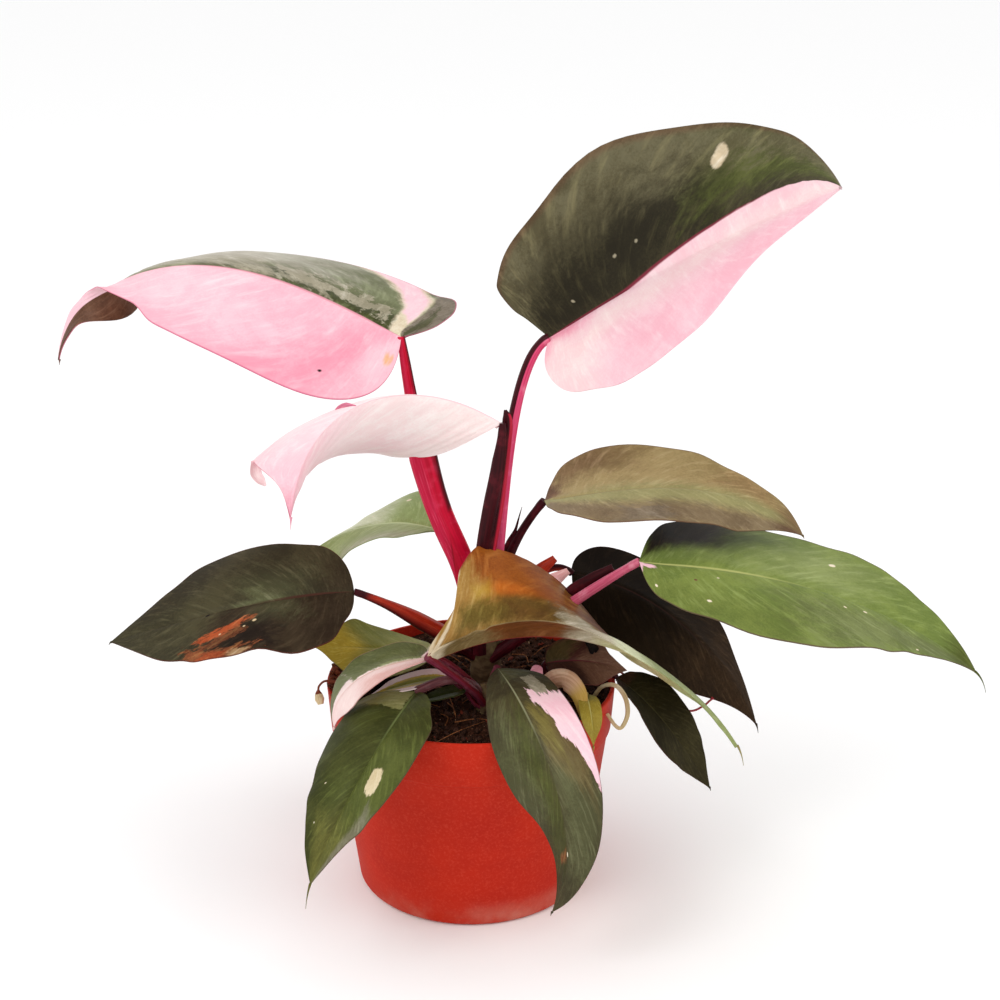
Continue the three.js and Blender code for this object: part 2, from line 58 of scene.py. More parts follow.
# base: where the petiole joins the blade.  heading, swing, rise, droop, bend: the midrib's way.
# roll, twist: turn about the midrib.  fold, tip_fold, cup: slopes of the left and right half.
# lobe, shoulder, belly, taper, side: the outline.  ruffle: mm of waviness at the margin.
# bites: changes of the margin, each (half, place along, length, share of the half width taken off).
# curl: where the tip starts to turn over, and how far.  tail: length of the drawn-out tip.
# seam: where the coloured midrib leaves the middle, and how far to the left it goes.
PLAIN = dict(
    swing=0, bend=1, roll=0, twist=0, fold=(5, 5), tip_fold=(0, 0), cup=(0, 0), lobe=0, shoulder=0.25,
    belly=0.33, taper=0.4, side=0, thick=0.8, ruffle=0.5, veins=11, bites=(), tail=4, seam=(1, 0),
    curl=(1, 0),
)
SHAPES = dict(
    tall_right=dict(
        base=(31.4, 4.5, 235.6), length=152.5, width=89, heading=-4.2, swing=-66.7, rise=35.7, droop=13.7,
        bend=1.42, roll=57.4, twist=-45.7, fold=(24.6, 26.4), tip_fold=(23.4, -72), cup=(17.1, -17.4),
        lobe=0.049, shoulder=0.395, belly=0.237, taper=0.605, side=-0.243, veins=13, seam=(0.35, 0.62),
        tail=2, bites=((-1, -0.023, 0.09, -0.58), (-1, 0.299, 0.124, 0.207), (-1, 0.643, 0.141, 0.073),
        (1, 0.274, 0.126, -0.148), (1, 0.565, 0.187, -0.572)),
    ),
    tall_left=dict(
        base=(-27, 8, 235), length=174.4, width=97.2, heading=152.7, swing=25.8, rise=20.4, droop=99.1,
        bend=2.34, roll=-28.8, twist=29.3, fold=(-19.1, -19.9), tip_fold=(0, 14.7), cup=(15, -10), lobe=0.04,
        shoulder=0.435, belly=0.313, taper=0.126, side=0.068, veins=13, tail=2, curl=(0.687, 148.437),
        bites=((-1, 0.847, 0.059, 0.476), (-1, 0.768, 0.13, 0.338), (1, 0.975, 0.05, -0.581),
        (1, 0.203, 0.061, -0.229)),
    ),
    young_pale=dict(
        base=(13, -10, 205), length=125.2, width=82.8, heading=181.7, swing=84.8, rise=37.1, droop=84.5,
        bend=0.96, roll=-29.8, twist=-58, fold=(-64.6, -65.7), tip_fold=(62.5, 1.7), cup=(-46.4, -83.4),
        lobe=-0.12, shoulder=1.227, belly=0.4, taper=0.385, side=-0.093, thick=0.7, ruffle=0.3,
        bites=((-1, 0.596, 0.09, 0.253), (1, 0.818, 0.099, -0.6), (-1, 0.307, 0.09, -0.143),
        (1, 0.3, 0.12, 0.2)),
    ),
    back_left=dict(
        base=(-12, 25, 146), length=78.4, width=47.1, heading=153.4, swing=3.6, rise=8.5, droop=56.6,
        bend=0.92, roll=-7.9, fold=(16.3, 7.5), tip_fold=(-103, -36.2), cup=(2, -5), lobe=-0.03,
        shoulder=0.197, belly=0.25, taper=0.077, side=-0.037, bites=((-1, 0.708, 0.144, -0.166),
        (1, 0.42, 0.08, -0.36)),
    ),
    left_dark=dict(
        base=(-47.4, -4.9, 131), length=105, width=54.1, heading=193.8, swing=-27.2, rise=10, droop=33.7,
        bend=0.51, roll=-35.7, twist=13.4, fold=(3.5, 10.8), tip_fold=(-8.8, -4.8), cup=(5, -24.4),
        lobe=-0.003, shoulder=0.163, belly=0.296, taper=0.81, side=-0.024, tail=2,
        bites=((-1, 0.538, 0.09, 0.055), (-1, 0.35, 0.09, -0.336), (-1, 0.566, 0.09, -0.167),
        (-1, 0.248, 0.139, 0.155), (-1, 0.498, 0.206, 0.171), (1, 0.22, 0.106, -0.096),
        (1, 0.548, 0.158, -0.181)),
    ),
    right_bronze=dict(
        base=(30, 7.9, 165.8), length=112.9, width=50.4, heading=-1.5, swing=4.1, rise=10.8, droop=59.1,
        bend=2.04, roll=6.7, twist=7.3, fold=(-7.3, 9.2), tip_fold=(38.8, -43.2), cup=(22.7, -9.5),
        lobe=-0.009, shoulder=0.275, belly=0.221, taper=0.669, side=0.072, tail=1.5,
        bites=((-1, 0.335, 0.195, -0.298), (-1, 0.769, 0.138, 0.217), (1, 0.263, 0.137, 0.204),
        (1, 0.601, 0.123, 0.121)),
    ),
    right_green=dict(
        base=(67.1, -20.3, 150.7), length=150.1, width=98.1, heading=-4.6, swing=10.5, rise=-1.1, droop=41.2,
        bend=1.24, roll=19.1, twist=-34.8, fold=(-6.8, 1.8), tip_fold=(66, -36.2), cup=(-11.3, -25.6),
        lobe=-0.021, shoulder=0.478, belly=0.348, taper=0.456, side=-0.268, veins=13, tail=10,
        bites=((-1, 0.206, 0.157, 0.239), (-1, 0.647, 0.3, 0.334), (1, 0.236, 0.145, 0.161),
        (1, 0.676, 0.144, 0.155)),
    ),
    right_low=dict(
        base=(42, 14.5, 130.8), length=112.1, width=55.6, heading=0.8, swing=1.6, rise=-1.9, droop=64.9,
        bend=0.64, roll=24.6, twist=4, fold=(-16, -2.4), tip_fold=(13.7, -26.4), cup=(7.3, -7.4), lobe=0.003,
        shoulder=0.152, belly=0.273, taper=0.472, side=0.026, tail=4, bites=((-1, 0.225, 0.107, -0.03),
        (-1, 0.603, 0.119, -0.075), (1, 0.237, 0.102, -0.147), (1, 0.582, 0.178, -0.02)),
    ),
    centre_bronze=dict(
        base=(-16.5, -41.1, 119), length=142.9, width=80.6, heading=5.1, swing=-13.8, rise=30, droop=89.8,
        bend=0.91, roll=20.1, twist=-108.7, fold=(49.9, 57), tip_fold=(-83.7, -186.9), cup=(-18.5, -70.5),
        lobe=-0.102, shoulder=0.647, belly=0.192, taper=-0.043, side=-0.033, tail=8,
        bites=((-1, 0.103, 0.09, 0.42), (-1, 0.292, 0.11, 0.089), (1, 0.29, 0.27, 0.76),
        (-1, 0.85, 0.25, 0.5), (1, 0.85, 0.25, 0.3)),
    ),
    right_small=dict(
        base=(60.4, 0.1, 89.9), length=61.3, width=29.4, heading=-24.3, swing=3.1, rise=-3.2, droop=54.6,
        bend=0.3, roll=7.9, twist=4.3, fold=(13.1, 20.5), tip_fold=(-9.3, -35.8), cup=(-3, 0), lobe=-0.044,
        shoulder=0.481, belly=0.298, taper=0.678, side=-0.007, veins=8, tail=1.5,
        bites=((-1, 0.237, 0.12, 0.167), (1, 0.348, 0.069, 0.229), (1, 0.517, 0.111, -0.084)),
    ),
    left_arched=dict(
        base=(-16.5, -24.8, 111.5), length=55.1, width=35.3, heading=193.8, swing=0.6, rise=-4, droop=100.9,
        bend=2.16, roll=2.5, twist=-8.8, fold=(10.1, 0.8), tip_fold=(-56.9, -3.7), cup=(18.8, 5.3),
        lobe=0.021, shoulder=0.224, belly=0.251, taper=0.49, side=-0.051, veins=8,
        bites=((-1, 0.611, 0.178, 0.19), (1, 0.564, 0.155, 0.116)),
    ),
    left_yellow=dict(
        base=(-16, 15, 95), length=55.1, width=44.7, heading=179.2, swing=0.3, rise=3.5, droop=0.5, roll=2,
        twist=-23.3, fold=(3, -4), tip_fold=(-24, 28), cup=(-5, -10), lobe=-0.01, shoulder=0.2, belly=0.41,
        taper=0.12, veins=8, bites=((-1, 0.642, 0.132, 0.159), (1, 0.383, 0.169, 0.26)),
    ),
    front_left=dict(
        base=(-21.5, -30.7, 98.6), length=92.9, width=47.9, heading=248.4, swing=-27.6, rise=-4.1, droop=61,
        bend=0.89, roll=4.9, twist=1.7, fold=(19.4, 17.5), tip_fold=(-18.4, 14.8), cup=(-22.1, -43.6),
        lobe=-0.071, shoulder=0.812, belly=0.374, taper=0.69, side=0.104, tail=9,
        bites=((-1, 0.188, 0.126, 0.235), (-1, 0.718, 0.199, 0.106), (1, 0.1, 0.137, -0.265),
        (1, 0.699, 0.208, 0.216)),
    ),
    front_right=dict(
        base=(11, -25.3, 106.5), length=124.2, width=37.9, heading=286.1, swing=27.1, rise=5.2, droop=129.3,
        bend=1.16, roll=6, twist=39, fold=(0.4, -3.6), tip_fold=(35.4, -70.9), cup=(-10.8, -25.8),
        lobe=-0.028, shoulder=0.326, belly=0.451, taper=0.676, side=0.055, tail=2,
        bites=((-1, 0.158, 0.13, -0.162), (-1, 0.721, 0.204, 0.116), (1, 0.128, 0.204, 0.322),
        (1, 0.715, 0.193, 0.343)),
    ),
    tiny_cream=dict(
        base=(-9, -23, 101), length=35, width=16, heading=185, rise=-2, droop=22, fold=(8, 8), shoulder=0.3,
        taper=0.3, ruffle=0.2, veins=6, tail=2,
    ),
    tiny_shaded=dict(
        base=(-2, -24, 96), length=21, width=10, heading=186, rise=-8, droop=10, fold=(10, 10), shoulder=0.3,
        taper=0.3, ruffle=0.2, veins=6, tail=2,
    ),
    tiny_olive=dict(
        base=(47, -27.5, 95.5), length=24, width=9, heading=278, rise=-8, droop=78, bend=1.2, shoulder=0.3,
        ruffle=0.2, veins=6, tail=2,
    ),
    folded_maroon=dict(
        base=(31, -5, 99), length=34, width=21, heading=0, swing=-12, rise=12, droop=30, fold=(48, -42),
        shoulder=0.4, belly=0.5, taper=0.8, ruffle=0.2, veins=6, tail=0, bites=((-1, 0.85, 0.3, 0.5),),
    ),
)
LEAVES = {name: PLAIN | shape for name, shape in SHAPES.items()}


# ---------- shape helpers ----------
def bezier(a, b, c, d, t):
    return (1 - t) ** 3 * a + 3 * (1 - t) ** 2 * t * b + 3 * (1 - t) * t**2 * c + t**3 * d


def ripple(seed, *axes):
    """A smooth random height of about -1 to 1 over coordinates that are counted in waves."""
    draw = np.random.default_rng(seed)
    total = 0
    for _ in range(5):
        phase = draw.random() + sum(draw.normal() * axis for axis in axes)
        total = total + np.sin(TURN * phase)
    return total / 3


def unit(vectors):
    return vectors / np.linalg.norm(vectors, axis=-1, keepdims=True)


def margin(leaf, s):
    """The flat outline of one half: shares of the length along and of the half width across."""
    back, belly = -1.5 * leaf["lobe"], leaf["belly"]
    first = np.minimum(s / 0.42, 1)
    second = np.clip((s - 0.42) / 0.58, 0, 1)
    along = np.where(
        s < 0.42,
        bezier(0, back, back, belly, first),
        bezier(belly, belly + 0.62 * (1 - belly), 0.7, 1, second),
    )
    across = np.where(
        s < 0.42,
        bezier(0, leaf["shoulder"], 1, 1, first),
        np.maximum(bezier(1, 1, leaf["taper"], 0, second), 0.12 * (1 - second)),
    )
    return along, across


def midrib_frame(leaf, s):
    """Tangent, upward normal and right-hand direction of the unrolled midrib."""
    slope = np.radians(leaf["rise"] - leaf["droop"] * s ** leaf["bend"])
    heading = np.radians(leaf["heading"] + leaf["swing"] * s)
    cs, ss, ch, sh = np.cos(slope), np.sin(slope), np.cos(heading), np.sin(heading)
    tangent = np.stack([cs * ch, cs * sh, ss], -1)
    up = np.stack([-ss * ch, -ss * sh, cs], -1)
    return tangent, up, np.cross(tangent, up)


def blade_places(leaf, along, across):
    """Places of flat coordinates in mm, and the way from there to the lower face."""
    steps = 60
    tangent, _, _ = midrib_frame(leaf, (np.arange(steps) + 0.5) / steps)
    spine = np.vstack([np.zeros(3), np.cumsum(tangent * leaf["length"] / steps, 0)]) + leaf["base"]
    s = along / leaf["length"]
    on = np.clip(s, 0, 1)
    tangent, up, right = midrib_frame(leaf, on)
    start, curl = leaf["curl"]
    over = np.clip((on - start) / (1.001 - start) * 1.4, 0, 1)
    turn = leaf["roll"] + leaf["twist"] * on + curl * over**2 * (3 - 2 * over)
    turn = np.radians(turn)[..., None]
    normal = up * np.cos(turn) + right * np.sin(turn)
    side = right * np.cos(turn) - up * np.sin(turn)
    step = np.minimum(on * steps, steps - 1e-6)
    low = step.astype(int)
    part = (step - low)[..., None]
    point = spine[low] * (1 - part) + spine[low + 1] * part
    point = point + tangent * (np.minimum(s, 0) * leaf["length"])[..., None]
    half = leaf["width"] / 2
    share = np.abs(across) / half
    folds = [np.radians(leaf["fold"][k] + leaf["tip_fold"][k] * on**2) for k in (0, 1)]
    hand = np.where(across > 0, 1, -1)
    fold = np.where(across > 0, folds[1], folds[0])
    curve = np.radians(np.where(across > 0, leaf["cup"][1], leaf["cup"][0])) + 1e-5
    slope = fold + curve * share
    out = half / curve * (np.sin(slope) - np.sin(fold)) * hand
    lift = half / curve * (np.cos(fold) - np.cos(slope))
    point = point + side * out[..., None] + normal * lift[..., None]

    def under(angle):
        return side * np.sin(angle)[..., None] - normal * np.cos(angle)[..., None]

    mitre = under(folds[1]) + under(-folds[0])
    size = np.linalg.norm(mitre, axis=-1, keepdims=True)
    mitre = mitre * np.minimum(2 / size**2, 2 / size)
    leave = np.minimum(np.abs(across) / 3, 1)[..., None]
    return point, mitre * (1 - leave) + under(slope * hand) * leave


def add(name, data):
    item = bpy.data.objects.new(name, data)
    scene.collection.objects.link(item)
    return item


def settle(mesh, slot, *nodes):
    """The object of a mesh, which rides on the plant and stands for the named nodes. The slot is not used."""
    piece = add(mesh.name, mesh)
    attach(piece, "root")
    if nodes:
        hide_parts(*nodes)
    return piece


class Form:
    """Grids of points, with a pair of surface coordinates at each, gathered into one mesh."""

    def __init__(self):
        self.points, self.coords, self.faces, self.looks = [], [], [], []
        self.count = 0

    def grid(self, points, coords, look=0, flip=False):
        rows, columns = points.shape[:2]
        index = self.count + np.arange(rows * columns).reshape(rows, columns)
        quads = np.stack([index[:-1, :-1], index[:-1, 1:], index[1:, 1:], index[1:, :-1]], -1)
        quads = quads.reshape(-1, 4)
        self.faces.append(quads[:, ::-1] if flip else quads)
        self.looks.append(np.full(len(quads), look))
        self.points.append(points.reshape(-1, 3))
        self.coords.append(coords.reshape(-1, 2))
        self.count += rows * columns

    def piece(self, name, looks, slot, *nodes, sharp=50, weld=0.002):
        """The form as a piece, in metres."""
        mesh = bpy.data.meshes.new(name)
        faces = np.vstack(self.faces)
        mesh.from_pydata(np.vstack(self.points) * MM, [], faces.tolist())
        coords = np.vstack(self.coords)[faces.ravel()]
        mesh.uv_layers.new(name="surface").data.foreach_set("uv", coords.ravel())
        mesh.polygons.foreach_set("material_index", np.concatenate(self.looks))
        for look in looks:
            mesh.materials.append(look)
        edit = bmesh.new()
        edit.from_mesh(mesh)
        bmesh.ops.remove_doubles(edit, verts=edit.verts, dist=weld * MM)
        bmesh.ops.recalc_face_normals(edit, faces=edit.faces)
        edit.to_mesh(mesh)
        edit.free()
        mesh.shade_smooth()
        mesh.set_sharp_from_angle(angle=math.radians(sharp))
        return settle(mesh, slot, *nodes)


# ---------- leaf blades ----------
ROWS = 110
COLUMNS = 20
LEAN = 0.16  # how far towards the tip a side vein has come at the margin, as a share of the length


def make_blade(name, looks, slot):
    leaf = LEAVES[name]
    seed = sum(map(ord, name))
    s = (1 - np.cos(np.linspace(0, math.pi, ROWS))) / 2
    out = np.linspace(-1, 1, 2 * COLUMNS + 1)
    out = np.sign(out) * np.abs(out) ** 1.2
    s, out = np.meshgrid(s, out, indexing="ij")
    hand, reach = np.sign(out), np.abs(out)
    rim_along, rim_across = margin(leaf, s)
    for half, place, extent, depth in leaf["bites"]:
        bite = depth * np.exp(-(((s - place) / extent) ** 4))
        rim_across = rim_across * (1 - bite * (hand == half))
    start = s**1.5
    along = (start + (rim_along - start) * reach) * leaf["length"]
    across = (1 + hand * leaf["side"]) * rim_across * out * leaf["width"] / 2
    point, inward = blade_places(leaf, along, across)
    shift = leaf["seam"][1] * np.clip((s - leaf["seam"][0]) / (1.001 - leaf["seam"][0]), 0, 1) ** 1.5
    out = (out + shift) / (1 + shift * np.sign(out + shift))
    across = rim_across * out * leaf["width"] / 2

    ends = np.minimum(1, 6 * s) * np.minimum(1, 4 * (1 - s))
    phase = leaf["veins"] * np.maximum(s - LEAN * reach, 0) ** 0.85 + 0.5 * (hand > 0)
    vein = np.exp(-(((phase % 1 - 0.5) / 0.16) ** 2)) * (1 - reach**3) * np.minimum(1, 5 * reach)
    size = leaf["width"] / 90
    relief = -0.3 * size * vein * ends
    relief -= (0.2 + 0.5 * size) * np.exp(-((across / (0.5 + size)) ** 2)) * ends
    relief += 0.35 * size * ripple(seed + 1, 2.2 * s, 0.8 * out) * ends * np.minimum(1, 3 * reach)
    relief += leaf["ruffle"] * reach**3 * ripple(seed + 2, 4 * s, hand) * ends
    keel = (0.3 + 1.2 * size) * np.exp(-((across / (0.6 + 1.1 * size)) ** 2)) * (1 - 0.8 * s)
    depth = leaf["thick"] * (1 - 0.5 * reach**8) + keel * np.minimum(1, 8 * (1 - s))
    outward = -unit(inward)
    upper = point + outward * relief[..., None]
    lower = point + inward * depth[..., None] + outward * relief[..., None]
    lower[0], lower[-1] = upper[0] + inward[0] * leaf["thick"], upper[-1] + inward[-1] * 0.4
    coords = np.stack([s, 0.5 + 0.5 * out], -1)

    form = Form()
    form.grid(upper, coords, 0, flip=True)
    form.grid(lower, coords, 1)
    for column in (0, -1):
        rim = np.stack([upper[:, column], lower[:, column]], 1)
        form.grid(rim, coords[:, [column, column]], 0, flip=column == 0)
    if leaf["tail"]:
        add_tail(form, leaf, upper[-1, 0])
    return form.piece(f"{name}_blade", looks, slot, f"leaf_{name}")


def add_tail(form, leaf, tip):
    """The drawn-out point at the end of the midrib, curling down."""
    tangent = midrib_frame(leaf, np.ones(1))[0][0]
    t = np.linspace(0, 1, 12)[:, None]
    reach, drop = leaf["tail"] * t * (1 - 0.3 * t), 0.5 * leaf["tail"] * t**2
    path = tip + tangent * (reach - 0.5) - np.array([0, 0, 1]) * (0.2 + drop)
    tube(form, path, 0.1 + 0.45 * (1 - t[:, 0]) ** 1.5, sides=8, ends=((1, 0.5), (1, 0.5)))


def tube(form, path, radii, sides=16, flat=1.0, look=0, ends=((0, 0), (1, 1)), deep=(0, 1, 0), shape=None):
    """A closed stalk round a path.  `shape` gives its outline's share of the radius by place and angle."""
    steps = len(path)
    tangent = unit(np.gradient(path, axis=0))
    deep = np.array(deep, float)
    depth = unit(deep - tangent * (tangent @ deep)[:, None])
    wide = unit(np.cross(tangent, depth))
    t, angle = np.meshgrid(np.linspace(0, 1, steps), np.linspace(0, 1, sides + 1), indexing="ij")
    swell = np.ones_like(t) if shape is None else shape(t, angle)
    radius = np.asarray(radii)[:, None] * swell
    ring = path[:, None] + wide[:, None] * (radius * np.cos(TURN * angle))[..., None]
    ring = ring + depth[:, None] * (radius * flat * np.sin(TURN * angle))[..., None]
    ring[:, -1] = ring[:, 0]
    (u0, v0), (u1, v1) = ends
    coords = np.stack([u0 + (u1 - u0) * t, v0 + (v1 - v0) * angle], -1)
    form.grid(ring, coords, look)
    for end in (0, -1):
        middle = ring[end, :-1].mean(0)
        fan = np.stack([ring[end], np.broadcast_to(middle, ring[end].shape)])
        form.grid(fan, coords[[end, end]], look, flip=end == 0)


def shell(form, path, widths, facing, hollow=0.3, thick=0.5, look=0, columns=8):
    """A thin strip along a path, `widths` across, with its margins raised towards `facing`."""
    facing = np.array(facing, float)
    tangent = unit(np.gradient(path, axis=0))
    normal = unit(facing - tangent * (tangent @ facing)[:, None])
    wide = np.cross(tangent, normal)
    x = np.linspace(-1, 1, 2 * columns + 1)
    half = np.asarray(widths)[:, None, None] / 2
    raised = normal[:, None] * half * hollow * (x**2)[:, None]
    front = path[:, None] + wide[:, None] * half * x[:, None] + raised
    back = front - normal[:, None] * thick * (1 - 0.6 * x**6)[:, None]
    t, across = np.meshgrid(np.linspace(0, 1, len(path)), 0.5 + 0.5 * x, indexing="ij")
    coords = np.stack([t, across], -1)
    form.grid(front, coords, look)
    form.grid(back, coords, look, flip=True)
    for column in (0, -1):
        rim = np.stack([front[:, column], back[:, column]], 1)
        form.grid(rim, coords[:, [column, column]], look, flip=column == -1)
    for row in (0, -1):
        end = np.stack([front[row], back[row]])
        form.grid(end, coords[[row, row]], look, flip=row == 0)


# ---------- materials ----------
SQUEEZE = 0.35  # the half width of a blade, or the girth of a stalk, as a share of the length


def rgb(code):
    """A display colour, written 0xRRGGBB, in linear light."""
    parts = [(code >> shift & 255) / 255 for shift in (16, 8, 0)]
    return tuple(c / 12.92 if c <= 0.04045 else ((c + 0.055) / 1.055) ** 2.4 for c in parts)


class Look:
    """A material, and short ways to add its nodes."""

    def __init__(self, name, roughness, specular=0.5, **finish):
        self.material = bpy.data.materials.new(name)
        self.material.use_nodes = True
        self.tree = self.material.node_tree
        self.shader = self.tree.nodes["Principled BSDF"]
        self.set(self.shader, {"Roughness": roughness, "Specular IOR Level": specular} | finish)
        uv = self.tree.nodes.new("ShaderNodeUVMap")
        uv.uv_map = "surface"
        self.surface = uv.outputs[0]
        self.u, self.v, _ = self.split(self.surface)
        self.place = self.tree.nodes.new("ShaderNodeTexCoord").outputs["Object"]

    def put(self, socket, value):
        if isinstance(value, bpy.types.NodeSocket):
            self.tree.links.new(value, socket)
        elif isinstance(value, int) and socket.type == "RGBA":
            socket.default_value = (*rgb(value), 1)
        else:
            socket.default_value = value

    def set(self, node, values):
        for socket, value in values.items():
            self.put(node.inputs[socket], value)

    def node(self, kind, *values, **settings):
        node = self.tree.nodes.new(f"ShaderNode{kind}")
        for key, value in settings.items():
            setattr(node, key, value)
        self.set(node, dict(enumerate(values)))
        return node

    def split(self, vector):
        return self.node("SeparateXYZ", vector).outputs

    def math(self, operation, a, b=0.0, c=0.0):
        return self.node("Math", a, b, c, operation=operation).outputs[0]

    def plus(self, a, b):
        return self.math("ADD", a, b)

    def minus(self, a, b):
        return self.math("SUBTRACT", a, b)

    def times(self, a, b):
        return self.math("MULTIPLY", a, b)

    def stretched(self, vector, *scale):
        return self.node("VectorMath", vector, (*scale, 1.0), operation="MULTIPLY").outputs[0]

    def noise(self, vector, scale, detail=2.0, roughness=0.5, distortion=0.0):
        node = self.node("TexNoise")
        self.set(node, dict(Vector=vector, Scale=scale, Detail=detail))
        self.set(node, dict(Roughness=roughness, Distortion=distortion))
        return node.outputs["Fac"]

    def step(self, value, low, high, top=1.0):
        """0 below low, `top` above high, and smooth between."""
        return self.node("MapRange", value, low, high, 0.0, top, interpolation_type="SMOOTHSTEP").outputs[0]

    def mix(self, share, a, b, blend="MIX"):
        node = self.node("Mix", data_type="RGBA", blend_type=blend)
        self.set(node, {0: share, 6: a, 7: b})
        return node.outputs[2]

    def mask(self, noise, u0, u1, v0, v1, torn=0, soft=0.6, cover=100, slant=0, oval=False):
        """Where an area lies, with torn edges that follow the ribs."""
        shares = (x / 100 for x in (u0, u1, v0, v1, torn, soft, cover, slant))
        u0, u1, v0, v1, torn, soft, cover, slant = shares
        places = self.math("MULTIPLY_ADD", self.v, -slant, self.u), self.v
        ranges = (u0, u1), (v0, v1)
        half = [(high - low) / 2 for low, high in ranges]
        sides = [
            self.math("DIVIDE", self.minus(place, (low + high) / 2), extent)
            for place, (low, high), extent in zip(places, ranges, half)
        ]
        rooms = half[0], half[1] * SQUEEZE
        if oval:
            far = self.math("SQRT", self.plus(*[self.times(side, side) for side in sides]))
            inside = self.times(self.minus(1, far), min(rooms))
        else:
            gaps = [self.minus(1, self.math("ABSOLUTE", side)) for side in sides]
            inside = self.math("MINIMUM", *[self.times(gap, room) for gap, room in zip(gaps, rooms)])
        if torn:
            inside = self.math("MULTIPLY_ADD", self.minus(noise, 0.5), torn, inside)
        share = self.step(inside, -soft, soft, cover)
        if v0 >= 0 or v1 <= 0:
            near = 0.004 if v0 >= 0 else -0.004
            share = self.times(share, self.step(self.v, -near, near))
        return share

    def done(self, color, bump=None, strength=0.3, distance=0.2):
        self.put(self.shader.inputs["Base Color"], color)
        if bump is not None:
            node = self.node("Bump")
            self.set(node, dict(Strength=strength, Distance=distance * MM, Height=bump))
            self.put(self.shader.inputs["Normal"], node.outputs[0])
        return self.material


# An area of a blade or stalk is a row: tones, reach along (from, to), reach across (from, to), how torn
# and how soft its edge is, how much it covers, how far it slants, all in hundredths of the surface.
# Across a blade, below 0 is its left half.
def oval(tones, u0, u1, v0, v1, torn=0, soft=0.6, cover=100, slant=0):
    return tones, u0, u1, v0, v1, torn, soft, cover, slant, True


def fleck(tones, u, v, size):
    return oval(tones, u - size, u + size, v - 4 * size, v + 4 * size, 1, 0.2)


def leaf_look(name, left, right, areas=(), rib=0x6B2A30, rib_end=0.9, rib_width=0.9, edge=None, width=90,
              veins=11, roughness=0.42, specular=0.16):
    """left and right are the tones (main, shade, light) of the two halves of a blade."""
    look = Look(name, roughness, specular)
    look.v = look.math("MULTIPLY_ADD", look.v, 2.0, -1.0)
    reach = look.math("ABSOLUTE", look.v)
    mottle = look.noise(look.place, 45, 4, 0.65, 0.4)
    grain = look.noise(look.place, 1100, 2, 0.6)
    lean = look.math("MAXIMUM", look.math("MULTIPLY_ADD", reach, -LEAN, look.u), 0.0)
    way = look.node("CombineXYZ", lean, look.v).outputs[0]
    streak = look.noise(look.stretched(way, 40, 3), 1, 3, 0.65)
    fine = look.noise(look.stretched(way, 170, 7), 1, 2, 0.6)
    torn = look.noise(look.stretched(way, 34, 9), 1, 4, 0.7, 0.3)
    flow = look.times(look.math("POWER", lean, 0.85), veins)
    flow = look.plus(flow, look.times(look.math("GREATER_THAN", look.v, 0.0), 0.5))
    away = look.math("ABSOLUTE", look.minus(look.math("FRACT", flow), 0.5))
    vein = look.times(look.step(away, 0.13, 0.0), look.minus(1.0, reach))
    light_share = look.step(streak, 0.48, 0.78, 0.8)
    shade_share = look.step(look.math("MULTIPLY_ADD", grain, 0.35, mottle), 0.5, 0.8)

    def toned(tones):
        main, shade, light = tones
        color = look.mix(light_share, look.mix(shade_share, main, shade), light)
        return look.mix(look.times(vein, 0.35), color, shade)

    if left == right:
        color = toned(left)
    else:
        wavy = look.math("MULTIPLY_ADD", look.minus(streak, 0.5), 0.03, look.v)
        color = look.mix(look.step(wavy, -0.008, 0.008), toned(left), toned(right))
    for tones, *reaches in areas:
        color = look.mix(look.mask(torn, *reaches), color, toned(tones))
    color = look.mix(look.step(fine, 0.3, 0.75, 0.12), color, 0xFFFFFF, "SOFT_LIGHT")
    slim = look.math("MULTIPLY_ADD", look.u, -1.4 * rib_width / width, 2 * rib_width / width)
    beside = look.step(look.minus(reach, slim), 0.012, -0.006)
    color = look.mix(look.times(beside, look.step(look.u, rib_end, rib_end - 0.3)), color, rib)
    if edge is not None:
        color = look.mix(look.step(reach, 0.98, 0.997, 0.75), color, edge)
    return look.done(color, look.plus(look.times(fine, 0.6), look.times(grain, 0.3)), 0.22, 0.4)


def skin_look(name, main, shade, light, along=3, around=14, areas=(), roughness=0.4, coat=0.1):
    """Petioles and other striped skins."""
    look = Look(name, roughness, 0.1, **{"Coat Weight": coat, "Coat Roughness": 0.3})
    stripe = look.noise(look.stretched(look.surface, along, around), 1, 3, 0.6)
    fine = look.noise(look.stretched(look.surface, along * 3, around * 6), 1, 2, 0.6)
    blotch = look.noise(look.place, 120, 3, 0.6)
    color = look.mix(look.step(stripe, 0.35, 0.65), main, shade)
    color = look.mix(look.step(blotch, 0.5, 0.75, 0.6), color, light)
    for (main, shade, light), *reaches in areas:
        tone = look.mix(look.step(fine, 0.5, 0.7, 0.7), main, light)
        tone = look.mix(look.step(stripe, 0.4, 0.7), tone, shade)
        color = look.mix(look.mask(stripe, *reaches), color, tone)
    return look.done(color, look.plus(stripe, fine), 0.2, 0.3)


def earth_look(name, main, shade, light):
    look = Look(name, 0.9, 0.15)
    cloud = look.noise(look.place, 260, 3, 0.6)
    grain = look.noise(look.place, 2200, 3, 0.6)
    color = look.mix(look.step(cloud, 0.35, 0.65), main, shade)
    color = look.mix(look.step(grain, 0.5, 0.7, 0.8), color, light)
    return look.done(color, grain, 0.6, 0.6)


